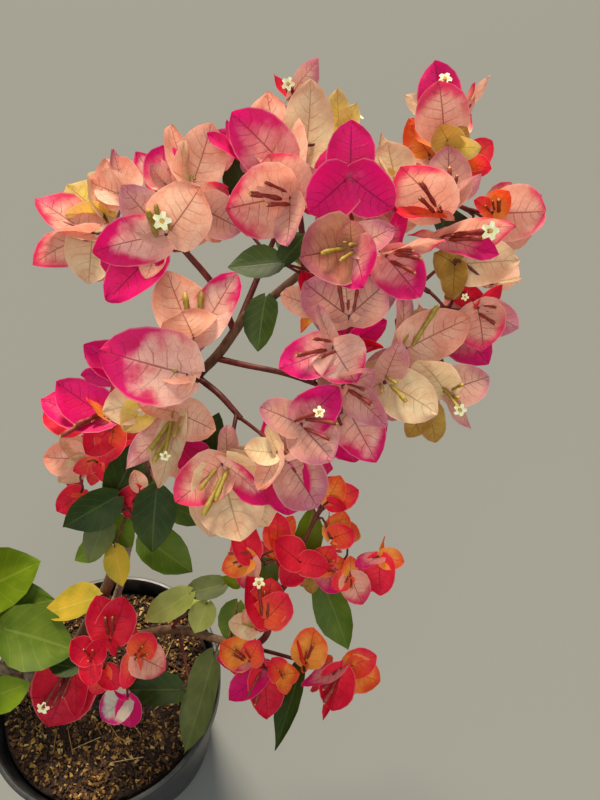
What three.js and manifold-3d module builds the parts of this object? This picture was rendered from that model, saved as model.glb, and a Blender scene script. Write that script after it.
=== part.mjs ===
// A bougainvillea bush in a round nursery pot: one arching main stem, a second stem, a low
// right-hand bough and a pruned stub, with sprays of papery bracts and leaves at the ends.
// Units are millimetres and +Z is up. The origin is the middle of the pot's flat underside,
// +X runs along the arch of the main stem and +Y runs away from the open side of the pot.
import * as THREE from "three";
import { mergeVertices } from "three/addons/utils/BufferGeometryUtils.js";
import Module from "manifold-3d";

const wasm = await Module();
wasm.setup();

// Driving dimensions of the pot.
const POT_HEIGHT = 190;
const RIM_RADIUS = 110;
const FOOT_RADIUS = 80;
const COLLAR_HEIGHT = 24;
const COLLAR_STEP = 3.5;
const WALL = 2.6;
const LIP = 5;
const EDGE = 1.6; // small bevel at the collar's edges
const FOOT_CHAMFER = 3.5;
const ROUND_STEPS = 40;
const SOIL_DEPTH_BELOW_RIM = 18;
const DRAIN_HOLES = 6;
const DRAIN_RADIUS = 7;
const DRAIN_STEPS = 12;
const DRAIN_CIRCLE = 56;

// Driving dimensions of the plant.
const GAP = 0.3; // clearance where two pieces meet
const SOIL_LEVEL = POT_HEIGHT - SOIL_DEPTH_BELOW_RIM;
const BLADE_THICKNESS = 1.1; // of a bract or leaf at its midrib
const ROOMY_THICKNESS = 3.2; // of a blade while its place is tested
const PEDICEL_RADIUS = 0.9;
const KNOB_DEPTH = 2.2; // from the twig's end to the meeting point of the bracts
const NOTCH = 2.2; // distance from a unit's axis to the notch between two bracts
const EYE_RISE = 0.9; // the middle of a unit over its notches
const TWIG_RADIUS = 1.2;
const STEM_TAPER = 0.7; // a spray's stem at its tip, as a share of its foot
const BRACTS_IN_UNIT = 3;
const TRIES = 24; // turns that a unit or leaf may try before a blocked blade is left out
const DRAWS = 20; // chances kept for one attempt
const GOLDEN_ANGLE = Math.PI * (3 - Math.sqrt(5));

// How a unit grows: the light that it turns to, how far it opens, and how its size varies.
const LIGHT = new THREE.Vector3(0.1, -0.45, 0.85);
const LIGHT_PULL = 0.25;
const UNIT_TURN = 0.12; // radians of tilt that each further attempt may add
const UNIT_NEAREST = 0.75; // of the spray's reach, from its heart
const UNIT_SCATTER = 0.4;
const FIRST_FOOT = 0.6; // share of the stem below which no twig leaves it
const ONLY_FOOT = 0.8; // the same for a spray's only twig
const TWIG_BEND = 0.3; // share of the way from the heart to the unit where its twig bends
const OPEN_LEAST = 0.5; // radians between a bract and the unit's axis
const OPEN_RANGE = 0.6;
const OPEN_UNEVEN = 0.3;
const SIZE_LEAST = 0.88;
const SIZE_RANGE = 0.24;
const CURL_RANGE = 0.28;
const CURL_MIDDLE = 0.35;
const BRACT_ROOM = 1.2; // half width of a bract over its distance from the axis, at most

// How a leaf grows: its place along the stem, its stalk, droop, tilt and size.
const LEAF_SEED = 50;
const LEAF_TURN = 0.8;
const LEAF_FIRST_FOOT = 0.35;
const LEAF_FEET = 0.6;
const STALK_LEAST = 0.5; // of the spray's reach
const STALK_RANGE = 0.5;
const STALK_HEAD = 0.8; // share of a stalk that belongs to the twig, not to the leaf
const LEAF_DROOP = 0.5;
const LEAF_TILT = 0.6;
const LEAF_MORE = 4; // added to a leaf's length, which starts from the spray's bract length
const LEAF_RANGE = 0.4;
const LEAF_CURL = 0.2;
const LEAF_CURL_MIDDLE = 0.7;

// Limbs and stems.
const LIMB_STEP = 14; // length of one straight piece of a limb
const FLARE_SHARE = 0.4; // of the trunk's length, from the ground
const ARCH = 0.08; // rise of a spray's stem over its span
const STEM_STEP = 22;
const STEM_FOOT_SHARE = 0.75; // a stem's foot over its limb's radius, at most
const STEM_SLIMNESS = 90; // span that adds one millimetre to a stem's radius

const COLOURS = {
  bark: 0x5a3a28,
  oldBark: 0x8a7360,
  pot: 0x26282b,
  soil: 0x4a3524,
  peach: 0xe6a58c,
  cream: 0xdccb9a,
  pink: 0xd65a86,
  magenta: 0xd0147a,
  crimson: 0xb80d2d,
  orange: 0xe8602a,
  leaf: 0x3d5f20,
  paleLeaf: 0x8ea548,
};

// Limbs: each is one tapering tube from its foot to its tip, along a smooth curve through a few
// points. "from" names the limb that it leaves, which it stands clear of.
const LIMBS = [
  { name: "trunk",
    path: [[-36, 19, SOIL_LEVEL - 6], [-34, 21, 190], [-30, 26, 212]],
    radius: [12, 8.5], flare: 1.45, sides: 12, bark: "oldBark" },
  { name: "main_stem_low", from: "trunk",
    path: [[-30, 26, 209], [-8, 42, 246], [16, 56, 292], [31, 65, 335]],
    radius: [6.2, 4.7], sides: 8, bark: "bark" },
  { name: "main_stem_middle", after: "main_stem_low",
    path: [[55, 76, 388], [73, 87, 435], [100, 99, 486]],
    radius: [4.6, 3.7], sides: 8, bark: "bark" },
  { name: "main_stem_high", after: "main_stem_middle",
    path: [[116, 104, 508], [131, 108, 524], [150, 117, 550]],
    radius: [3.6, 3.3], sides: 8, bark: "bark" },
  { name: "main_stem_tip", after: "main_stem_high",
    path: [[168, 119, 564], [187, 122, 581], [208, 124, 598]],
    radius: [3.2, 2.2], sides: 8, bark: "bark" },
  { name: "second_stem", from: "trunk",
    path: [[-28, 28, 206], [6, 54, 238], [26, 76, 290], [38, 88, 340], [38, 98, 392]],
    radius: [4.2, 2.6], sides: 6, bark: "oldBark" },
  { name: "stub_bough", from: "trunk",
    path: [[-34, 20, 184], [-56, 8, 184], [-74, -3, 190]],
    radius: [7.5, 7], sides: 8, bark: "oldBark" },
  { name: "pruned_stub", after: "stub_bough",
    path: [[-64, 4, 212], [-44, 16, 240]],
    radius: [6.8, 6.2], sides: 8, bark: "oldBark" },
  { name: "left_bough", from: "stub_bough",
    path: [[-72, -2, 189], [-82, -2, 215], [-98, 6, 246], [-118, 22, 282]],
    radius: [5.2, 3], sides: 6, bark: "oldBark" },
  { name: "right_bough", from: "trunk",
    path: [[-31, 24, 200], [22, 34, 212], [70, 32, 238], [108, 18, 252], [140, 4, 262]],
    radius: [5, 3.4], sides: 6, bark: "bark" },
  { name: "right_bough_rise", after: "right_bough",
    path: [[158, 4, 292], [168, 20, 332], [190, 34, 362]],
    radius: [3.2, 2.2], sides: 6, bark: "bark" },
  { name: "left_fork", from: "main_stem_high",
    path: [[142, 115, 540], [132, 120, 572], [114, 122, 602]],
    radius: [2.5, 1.9], sides: 6, bark: "bark" },
  { name: "right_fork", from: "main_stem_high",
    path: [[128, 107, 521], [150, 97, 524], [175, 86, 528], [202, 66, 536]],
    radius: [2.3, 1.6], sides: 6, bark: "bark" },
  { name: "low_fork", from: "main_stem_high",
    path: [[115, 103, 506], [132, 86, 506], [147, 70, 500]],
    radius: [2.4, 2], sides: 6, bark: "bark" },
  { name: "crown_bough_right", from: "main_stem_tip",
    path: [[196, 123, 588], [224, 112, 590], [248, 112, 588], [268, 108, 578]],
    radius: [2.3, 1.6], sides: 6, bark: "bark" },
  { name: "crown_bough_outer", from: "main_stem_tip",
    path: [[205, 124, 595], [226, 132, 600], [250, 142, 608], [268, 154, 622]],
    radius: [2.2, 1.5], sides: 6, bark: "bark" },
  { name: "crown_bough_top", from: "main_stem_tip",
    path: [[190, 123, 583], [188, 144, 600], [184, 172, 620]],
    radius: [2.3, 1.6], sides: 6, bark: "bark" },
  { name: "crown_bough_back", from: "main_stem_high",
    path: [[146, 115, 546], [158, 146, 560], [172, 184, 574]],
    radius: [2.4, 1.7], sides: 6, bark: "bark" },
];

// Sprays: each is one node of stem, twigs, units of three bracts, and leaves. Its stem leaves
// the limb "on" at the share "at" of its length and ends at the heart of the spray. Its units
// spread over the spread angle round the way it faces, at its reach from the heart.
const SPRAYS = [
  { name: "bracts_left_tip", on: "left_fork", at: 1, heart: [68, 137, 602], reach: 14,
    units: 3, bract: 40, leaves: 0, tint: "cream", face: [-0.9, -0.1, 0.4], spread: 1.1, seed: 3 },
  { name: "bracts_left_front", on: "left_fork", at: 0.95, heart: [98, 108, 611], reach: 10,
    units: 2, bract: 44, leaves: 0, tint: "pink", face: [-0.2, -0.8, 0.6], spread: 0.9, seed: 8 },
  { name: "bracts_left_back", on: "left_fork", at: 0.9, heart: [112, 156, 616], reach: 16,
    units: 3, bract: 42, leaves: 0, tint: "peach", face: [-0.1, 0.5, 0.85], spread: 1.0, seed: 5 },
  { name: "bracts_top_front", on: "crown_bough_top", at: 0.6, heart: [172, 136, 628], reach: 8,
    units: 1, bract: 44, leaves: 1, tint: "peach", face: [-0.15, -0.85, 0.6], spread: 0.5, seed: 4 },
  { name: "bracts_top", on: "crown_bough_top", at: 1, heart: [184, 182, 636], reach: 17,
    units: 4, bract: 42, leaves: 0, tint: "pink", face: [-0.1, 0.1, 1], spread: 1.1, seed: 7 },
  { name: "bracts_centre_high", on: "main_stem_tip", at: 1, heart: [214, 122, 626], reach: 13,
    units: 3, bract: 46, leaves: 1, tint: "magenta", face: [0.0, -0.6, 0.9], spread: 1.0, seed: 2 },
  { name: "bracts_centre_low", on: "crown_bough_right", at: 0.25, heart: [216, 92, 582], reach: 12,
    units: 2, bract: 42, leaves: 0, tint: "peach", face: [0.1, -1, 0.2], spread: 1.0, seed: 6 },
  { name: "bracts_right_top", on: "crown_bough_outer", at: 1, heart: [274, 170, 638], reach: 14,
    units: 4, bract: 42, leaves: 0, tint: "magenta", face: [0.3, 0.1, 1], spread: 1.1, seed: 9 },
  { name: "bracts_right_middle", on: "crown_bough_outer", at: 0.8, heart: [258, 140, 626], reach: 11,
    units: 2, bract: 42, leaves: 0, tint: "pink", face: [0.0, -0.8, 0.6], spread: 1.0, seed: 1 },
  { name: "bracts_right_tip", on: "crown_bough_outer", at: 0.9, heart: [298, 148, 610], reach: 10,
    units: 2, bract: 42, leaves: 0, tint: "orange", face: [1, 0.0, 0.3], spread: 1.0, seed: 12 },
  { name: "bracts_right_outer", on: "crown_bough_right", at: 0.9, heart: [280, 112, 602], reach: 13,
    units: 3, bract: 42, leaves: 0, tint: "pink", face: [0.7, -0.6, 0.3], spread: 1.1, seed: 11 },
  { name: "bracts_right_low", on: "crown_bough_right", at: 1, heart: [278, 94, 574], reach: 13,
    units: 3, bract: 42, leaves: 0, tint: "peach", face: [0.6, -0.7, -0.1], spread: 1.1, seed: 13 },
  { name: "bracts_low_right", on: "crown_bough_right", at: 0.75, heart: [258, 62, 552], reach: 15,
    units: 3, bract: 44, leaves: 0, tint: "cream", face: [0.5, -0.8, -0.3], spread: 1.1, seed: 14 },
  { name: "bracts_fork_high", on: "right_fork", at: 0.9, heart: [200, 58, 562], reach: 9,
    units: 2, bract: 42, leaves: 0, tint: "pink", face: [0.1, -0.9, 0.3], spread: 1.0, seed: 15 },
  { name: "bracts_fork_tip", on: "right_fork", at: 1, heart: [212, 36, 534], reach: 13,
    units: 2, bract: 42, leaves: 0, tint: "magenta", face: [0.4, -0.9, -0.2], spread: 1.0, seed: 16 },
  { name: "bracts_fork_hanging", on: "low_fork", at: 1, heart: [182, 24, 512], reach: 14,
    units: 2, bract: 44, leaves: 0, tint: "pink", face: [0.1, -0.8, -0.5], spread: 1.0, seed: 17 },
  { name: "bracts_low_left", on: "low_fork", at: 0.9, heart: [140, 26, 494], reach: 13,
    units: 3, bract: 43, leaves: 0, tint: "cream", face: [0.0, -0.9, 0.0], spread: 1.1, seed: 18 },
  { name: "bracts_stem_cup", on: "main_stem_high", at: 0.02, heart: [118, 95, 552], reach: 6,
    units: 1, bract: 44, leaves: 0, tint: "peach", face: [0.0, -0.2, 1], spread: 0.3, seed: 19 },
  { name: "bracts_stem_left", on: "main_stem_middle", at: 0.97, heart: [82, 84, 540], reach: 10,
    units: 2, bract: 46, leaves: 0, tint: "magenta", face: [-0.9, -0.4, 0.3], spread: 0.9, seed: 20 },
  { name: "bracts_stem_hanging", on: "main_stem_middle", at: 0.8, heart: [100, 52, 508], reach: 9,
    units: 2, bract: 42, leaves: 0, tint: "peach", face: [0.1, -0.9, -0.3], spread: 0.8, seed: 21 },
  { name: "bracts_red_left", on: "second_stem", at: 1, heart: [34, 94, 468], reach: 16,
    units: 4, bract: 36, leaves: 0, tint: "crimson", face: [-0.7, -0.5, 0.4], spread: 1.2, seed: 40 },
  { name: "bracts_red_left_low", on: "second_stem", at: 0.95, heart: [14, 88, 424], reach: 15,
    units: 3, bract: 28, leaves: 1, tint: "crimson", face: [-0.8, -0.4, 0.0], spread: 1.2, seed: 23 },
  { name: "leaves_stem", on: "main_stem_middle", at: 0.25, heart: [56, 54, 412], reach: 22,
    units: 0, bract: 40, leaves: 8, tint: "leaf", face: [-0.2, -0.9, 0.3], spread: 1.3, seed: 24 },
  { name: "leaves_stem_back", on: "main_stem_middle", at: 0.4, heart: [74, 112, 420], reach: 22,
    units: 0, bract: 40, leaves: 6, tint: "leaf", face: [0.2, 0.9, 0.3], spread: 1.3, seed: 25 },
  { name: "leaves_left", on: "left_bough", at: 1, heart: [-118, 34, 296], reach: 26,
    units: 1, bract: 30, leaves: 9, tint: "paleLeaf", face: [-0.4, -0.2, 0.8], spread: 1.5, seed: 26 },
  { name: "leaves_pot_left", on: "left_bough", at: 0.55, heart: [-62, 30, 252], reach: 22,
    units: 0, bract: 30, leaves: 7, tint: "leaf", face: [0.2, 0.4, 0.7], spread: 1.5, seed: 27 },
  { name: "leaves_pot_right", on: "right_bough", at: 0.55, heart: [80, 34, 262], reach: 20,
    units: 0, bract: 30, leaves: 6, tint: "paleLeaf", face: [0.2, 0.2, 0.8], spread: 1.4, seed: 28 },
  { name: "leaves_pot_front", on: "right_bough", at: 0.6, heart: [86, -10, 228], reach: 24,
    units: 0, bract: 30, leaves: 5, tint: "leaf", face: [0.1, -0.8, 0.1], spread: 1.3, seed: 29 },
  { name: "bracts_red_pot", on: "right_bough", at: 0.3, heart: [24, 4, 276], reach: 16,
    units: 4, bract: 34, leaves: 1, tint: "crimson", face: [0.0, -0.6, 0.7], spread: 1.2, seed: 30 },
  { name: "bracts_red_front", on: "trunk", at: 0.8, heart: [-26, -26, 234], reach: 10,
    units: 1, bract: 44, leaves: 1, tint: "crimson", face: [-0.2, -0.7, 0.5], spread: 0.5, seed: 31 },
  { name: "bracts_orange_rise", on: "right_bough_rise", at: 0.75, heart: [150, 34, 366], reach: 18,
    units: 4, bract: 30, leaves: 2, tint: "crimson", face: [-0.3, -0.5, 0.5], spread: 1.4, seed: 32 },
  { name: "bracts_orange_right", on: "right_bough_rise", at: 1, heart: [222, 28, 368], reach: 22,
    units: 5, bract: 28, leaves: 2, tint: "orange", face: [0.8, -0.4, 0.2], spread: 1.4, seed: 33 },
  { name: "bracts_orange_top", on: "right_bough_rise", at: 0.8, heart: [202, 58, 404], reach: 16,
    units: 3, bract: 24, leaves: 2, tint: "orange", face: [0.6, 0.0, 0.6], spread: 1.2, seed: 34 },
  { name: "bracts_orange_low", on: "right_bough", at: 0.97, heart: [140, -14, 282], reach: 17,
    units: 4, bract: 30, leaves: 1, tint: "orange", face: [-0.2, -0.7, 0.2], spread: 1.4, seed: 35 },
  { name: "bracts_orange_tip", on: "right_bough_rise", at: 0.05, heart: [206, -20, 284], reach: 24,
    units: 5, bract: 30, leaves: 2, tint: "orange", face: [0.7, -0.6, 0.2], spread: 1.4, seed: 36 },
  { name: "bracts_back_left", on: "crown_bough_back", at: 0.7, heart: [124, 206, 588], reach: 18,
    units: 4, bract: 42, leaves: 1, tint: "peach", face: [-0.5, 0.8, 0.3], spread: 1.2, seed: 37 },
  { name: "bracts_back_right", on: "crown_bough_back", at: 1, heart: [218, 214, 592], reach: 20,
    units: 5, bract: 42, leaves: 1, tint: "pink", face: [0.4, 0.9, 0.3], spread: 1.2, seed: 38 },
  { name: "bracts_back_low", on: "crown_bough_back", at: 0.95, heart: [206, 168, 530], reach: 18,
    units: 4, bract: 42, leaves: 2, tint: "peach", face: [0.3, 0.6, -0.5], spread: 1.2, seed: 39 },
];

// A number from 0 to 1 that depends only on its three whole numbers.
function chance(seed, item, draw) {
  const wave = Math.sin(seed * 127.1 + item * 311.7 + draw * 74.7) * 43758.5453;
  return wave - Math.floor(wave);
}

const vector = (p) => new THREE.Vector3(...p);

// The triangles of a three.js geometry as a solid whose shared vertices are merged.
function solidOf(geometry) {
  const bare = geometry.clone();
  bare.deleteAttribute("normal");
  bare.deleteAttribute("uv");
  const merged = mergeVertices(bare, 1e-4);
  return new wasm.Manifold(
    new wasm.Mesh({
      numProp: 3,
      vertProperties: new Float32Array(merged.attributes.position.array),
      triVerts: new Uint32Array(merged.index.array),
    }),
  );
}

// A solid's surface as a three.js geometry.
function geometryOf(solid) {
  const mesh = solid.getMesh();
  const places = new Float32Array(mesh.numVert * 3);
  for (let i = 0; i < mesh.numVert; i++) {
    places.set(mesh.vertProperties.subarray(i * mesh.numProp, i * mesh.numProp + 3), i * 3);
  }
  const geometry = new THREE.BufferGeometry();
  geometry.setAttribute("position", new THREE.BufferAttribute(places, 3));
  geometry.setIndex(new THREE.BufferAttribute(new Uint32Array(mesh.triVerts), 1));
  geometry.computeVertexNormals();
  return geometry;
}

// The largest body of a solid: sealed hollows are filled and loose scraps dropped.
function largestBody(solid) {
  return solid.decompose().reduce((best, body) => (body.volume() > best.volume() ? body : best));
}

// A closed tube of flat-sided rings along a curve, with a radius for each share of its length.
function tube(curve, radiusAt, sides, steps) {
  const frames = curve.computeFrenetFrames(steps, false);
  const places = [];
  const faces = [];
  for (let i = 0; i <= steps; i++) {
    const centre = curve.getPointAt(i / steps);
    for (let j = 0; j < sides; j++) {
      const turn = (2 * Math.PI * j) / sides;
      const spoke = frames.normals[i].clone().multiplyScalar(Math.cos(turn));
      spoke.addScaledVector(frames.binormals[i], Math.sin(turn));
      places.push(centre.clone().addScaledVector(spoke, radiusAt(i / steps)));
    }
  }
  for (let i = 0; i < steps; i++) {
    for (let j = 0; j < sides; j++) {
      const a = i * sides + j;
      const b = i * sides + ((j + 1) % sides);
      faces.push(a, b, a + sides, b, b + sides, a + sides);
    }
  }
  const last = steps * sides;
  for (let j = 1; j < sides - 1; j++) {
    faces.push(0, j + 1, j, last, last + j, last + j + 1);
  }
  return closedSurface(places, faces);
}

// A blade's outline: points on one side as shares of its length and of its half width, and the
// place of its midrib point. Blades are thickest at the midrib and sharp at the edge.
const BRACT = { sides: [[0.26, 0.9], [0.66, 0.86]], rib: 0.48, width: 0.94, cup: 0.24 };
const LEAF = { sides: [[0.22, 0.84], [0.64, 0.76]], rib: 0.45, width: 0.64, cup: 0.26 };

// The corners of a blade: its rim from the right foot round the tip to the left foot, and the
// midrib point above and below. "limit" keeps the half width under a share of the distance out.
function bladePoints(shape, length, curl, thickness, limit) {
  const half = (shape.width * length) / 2;
  const corner = (x, share, rise) => {
    const y = share * length;
    return new THREE.Vector3(x, y, (shape.cup * x * x) / half + curl * length * share ** 2 + rise);
  };
  const reach = ([share, width]) => Math.min(width * half, limit * share * length);
  const right = shape.sides.map((side) => corner(reach(side), side[0], 0));
  const left = [...shape.sides].reverse().map((side) => corner(-reach(side), side[0], 0));
  return {
    rim: [...right, corner(0, 1, 0), ...left],
    above: corner(0, shape.rib, thickness / 2),
    below: corner(0, shape.rib, -thickness / 2),
  };
}

// A closed surface from a list of corners, and faces that name them by their place in the list.
function closedSurface(corners, faces) {
  const geometry = new THREE.BufferGeometry();
  const places = corners.flatMap((corner) => corner.toArray());
  geometry.setAttribute("position", new THREE.Float32BufferAttribute(places, 3));
  geometry.setIndex(faces);
  return geometry;
}

// A matrix with its Y along one direction and its Z as near as it can be to another.
function frameAlong(origin, along, facing) {
  const y = along.clone().normalize();
  const x = new THREE.Vector3().crossVectors(y, facing).normalize();
  const z = new THREE.Vector3().crossVectors(x, y);
  return new THREE.Matrix4().makeBasis(x, y, z).setPosition(origin);
}

// Two directions square to an axis, turned round it by an angle.
function acrossAxis(axis, turn) {
  const guide = Math.abs(axis.z) < 0.9 ? new THREE.Vector3(0, 0, 1) : new THREE.Vector3(1, 0, 0);
  const first = new THREE.Vector3().crossVectors(axis, guide).normalize();
  const second = new THREE.Vector3().crossVectors(axis, first);
  const spoke = first.multiplyScalar(Math.cos(turn)).addScaledVector(second, Math.sin(turn));
  return spoke.normalize();
}

// Everything that is grown so far, with its box, so that what comes later keeps clear of it.
// A spray's heads, its units and leaves without their twigs, also keep clear of each other.
const grown = [];

function keep(solid, owner, isHead = false) {
  grown.push({ solid, owner, isHead, box: solid.boundingBox() });
}

function boxesMeet(a, b) {
  return [0, 1, 2].every((k) => a.min[k] <= b.max[k] && b.min[k] <= a.max[k]);
}

function isFree(whole, head, owner) {
  const wholeBox = whole.boundingBox();
  const headBox = head.boundingBox();
  const clear = (solid, box, other) => !boxesMeet(box, other.box) || solid.intersect(other.solid).isEmpty();
  return grown.every((other) => {
    if (other.owner === owner) {
      return !other.isHead || clear(head, headBox, other);
    }
    return other.isHead || clear(whole, wholeBox, other);
  });
}

const group = new THREE.Group();

function addNode(name, geometry, colour, roughness) {
  const material = new THREE.MeshStandardMaterial({ color: colour, roughness, metalness: 0 });
  const mesh = new THREE.Mesh(geometry, material);
  mesh.name = name;
  group.add(mesh);
}

// The radius of the pot's outer wall at a height, leaving out the collar.
const COLLAR_FOOT = POT_HEIGHT - COLLAR_HEIGHT;
const wallAt = (z) => FOOT_RADIUS + ((RIM_RADIUS - COLLAR_STEP - FOOT_RADIUS) * z) / POT_HEIGHT;

// A solid of revolution about Z, from a profile of [radius, height] corners.
function turned(profile) {
  const lathe = new THREE.LatheGeometry(profile.map(([r, z]) => new THREE.Vector2(r, z)), ROUND_STEPS);
  return solidOf(lathe.rotateX(Math.PI / 2));
}

// The pot: a thin tapering wall with a wider collar under its lip, and holes in its floor.
function potSolid() {
  let pot = turned([
    [0, 0],
    [FOOT_RADIUS - FOOT_CHAMFER, 0],
    [FOOT_RADIUS, FOOT_CHAMFER],
    [wallAt(COLLAR_FOOT), COLLAR_FOOT],
    [RIM_RADIUS - EDGE, COLLAR_FOOT + EDGE],
    [RIM_RADIUS, POT_HEIGHT - EDGE],
    [RIM_RADIUS - EDGE, POT_HEIGHT],
    [RIM_RADIUS - LIP, POT_HEIGHT],
    [wallAt(COLLAR_FOOT) - WALL, COLLAR_FOOT - LIP],
    [wallAt(WALL) - WALL, WALL],
    [0, WALL],
  ]);
  for (let i = 0; i < DRAIN_HOLES; i++) {
    const turn = (2 * Math.PI * i) / DRAIN_HOLES;
    const drill = new THREE.CylinderGeometry(DRAIN_RADIUS, DRAIN_RADIUS, 4 * WALL, DRAIN_STEPS);
    drill.rotateX(Math.PI / 2);
    drill.translate(DRAIN_CIRCLE * Math.cos(turn), DRAIN_CIRCLE * Math.sin(turn), 0);
    pot = pot.subtract(solidOf(drill));
  }
  return pot;
}

// The potting mix: it fills the pot to the soil level, clear of the wall and floor.
function soilSolid() {
  const inset = WALL + 2 * GAP;
  return turned([
    [0, WALL + GAP],
    [wallAt(WALL) - inset, WALL + GAP],
    [wallAt(COLLAR_FOOT - LIP) - inset, COLLAR_FOOT - LIP],
    [wallAt(COLLAR_FOOT - LIP) - inset, SOIL_LEVEL],
    [0, SOIL_LEVEL],
  ]);
}

// All that lies below the soil level: the trunk is cut flat here.
function groundSolid() {
  const ground = new THREE.BoxGeometry(2 * RIM_RADIUS, 2 * RIM_RADIUS, POT_HEIGHT);
  return solidOf(ground.translate(0, 0, SOIL_LEVEL + GAP - POT_HEIGHT / 2));
}

// Limbs, with a slightly fatter copy of each that is cut out of whatever comes after it.
const limbs = new Map();

function limbRadius(limb, share) {
  const [foot, tip] = limb.radius;
  const flare = limb.flare ? (limb.flare - 1) * foot * (1 - Math.min(1, share / FLARE_SHARE)) ** 2 : 0;
  return foot + (tip - foot) * share + flare;
}

function growLimb(limb) {
  const path = limb.path.map(vector);
  if (limb.after) {
    const before = limbs.get(limb.after).curve;
    path.unshift(before.getPointAt(1).addScaledVector(before.getTangentAt(1), GAP));
  }
  const curve = new THREE.CatmullRomCurve3(path, false, "centripetal");
  const steps = Math.max(3, Math.round(curve.getLength() / LIMB_STEP));
  const radiusAt = (share) => limbRadius(limb, share);
  const sized = (extra) => solidOf(tube(curve, (share) => radiusAt(share) + extra, limb.sides, steps));
  let solid = sized(0);
  for (const before of [...limbs.values(), { fatter: groundSolid() }]) {
    solid = largestBody(solid.subtract(before.fatter));
  }
  limbs.set(limb.name, { curve, fatter: sized(GAP), limb, solid });
}

// The stem of a spray: an arching three-sided tube from its limb to the spray's heart.
function stemOf(spray) {
  const host = limbs.get(spray.on);
  const foot = host.curve.getPointAt(spray.at);
  const heart = vector(spray.heart);
  const span = foot.distanceTo(heart);
  const start = spray.at === 1 ? foot.clone().addScaledVector(host.curve.getTangentAt(1), GAP) : foot;
  const bend = start.clone().lerp(heart, 0.5).add(new THREE.Vector3(0, 0, span * ARCH));
  const curve = new THREE.QuadraticBezierCurve3(start, bend, heart);
  const hostRadius = limbRadius(host.limb, spray.at);
  const radius = Math.min(hostRadius * STEM_FOOT_SHARE, TWIG_RADIUS + span / STEM_SLIMNESS);
  const steps = Math.max(2, Math.round(span / STEM_STEP));
  const solid = solidOf(tube(curve, (share) => radius * (1 - (1 - STEM_TAPER) * share), 3, steps));
  return { curve, solid: largestBody(solid.subtract(host.fatter)) };
}

// The way that item i of n faces: a golden spiral over a cap round the spray's own way.
function facing(spray, i, n, wobble) {
  const axis = vector(spray.face).normalize();
  const tilt = spray.spread * Math.sqrt((i + 0.5) / n) + wobble;
  const spoke = acrossAxis(axis, i * GOLDEN_ANGLE + spray.seed);
  return axis.multiplyScalar(Math.cos(tilt)).addScaledVector(spoke, Math.sin(tilt));
}

// One unit of a spray: up to three bracts round an axis, in one closed surface with the twig
// that carries them. A bract that is left out leaves only a notch in the middle of the unit.
function unitSurface(unit, present, thickness) {
  const corners = [];
  const faces = [];
  const put = (point) => corners.push(point) - 1;
  const out = (turn, distance, rise) =>
    unit.base.clone().addScaledVector(acrossAxis(unit.axis, turn), distance).addScaledVector(unit.axis, rise);
  const turns = unit.bracts.map((bract) => bract.turn);
  const eye = put(out(0, 0, EYE_RISE));
  const notches = turns.map((turn) => put(out(turn + Math.PI / BRACTS_IN_UNIT, NOTCH, 0)));
  const rings = unit.twig.map(({ centre, radius }) => turns.map((turn) =>
    put(centre.clone().addScaledVector(acrossAxis(unit.axis, turn), radius))));
  const top = rings[rings.length - 1];
  unit.bracts.forEach((bract, k) => {
    const before = notches[(k + BRACTS_IN_UNIT - 1) % BRACTS_IN_UNIT];
    const after = notches[k];
    const next = (k + 1) % BRACTS_IN_UNIT;
    faces.push(top[k], top[next], after);
    if (present[k]) {
      const { rim, above, below } = bladePoints(BRACT, bract.length, bract.curl, thickness, bract.limit);
      const placed = rim.map((p) => put(p.applyMatrix4(bract.place)));
      const ribAbove = put(above.applyMatrix4(bract.place));
      const ribBelow = put(below.applyMatrix4(bract.place));
      const edge = [before, ...placed, after];
      for (let i = 0; i < edge.length - 1; i++) {
        faces.push(ribAbove, edge[i], edge[i + 1], ribBelow, edge[i + 1], edge[i]);
      }
      faces.push(eye, before, ribAbove, eye, ribAbove, after);
      faces.push(top[k], ribBelow, before, top[k], after, ribBelow);
    } else {
      faces.push(eye, before, after, top[k], after, before);
    }
    for (let i = 0; i < rings.length - 1; i++) {
      faces.push(rings[i][k], rings[i][next], rings[i + 1][k]);
      faces.push(rings[i][next], rings[i + 1][next], rings[i + 1][k]);
    }
  });
  faces.push(rings[0][0], rings[0][2], rings[0][1]);
  return solidOf(closedSurface(corners, faces));
}

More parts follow.
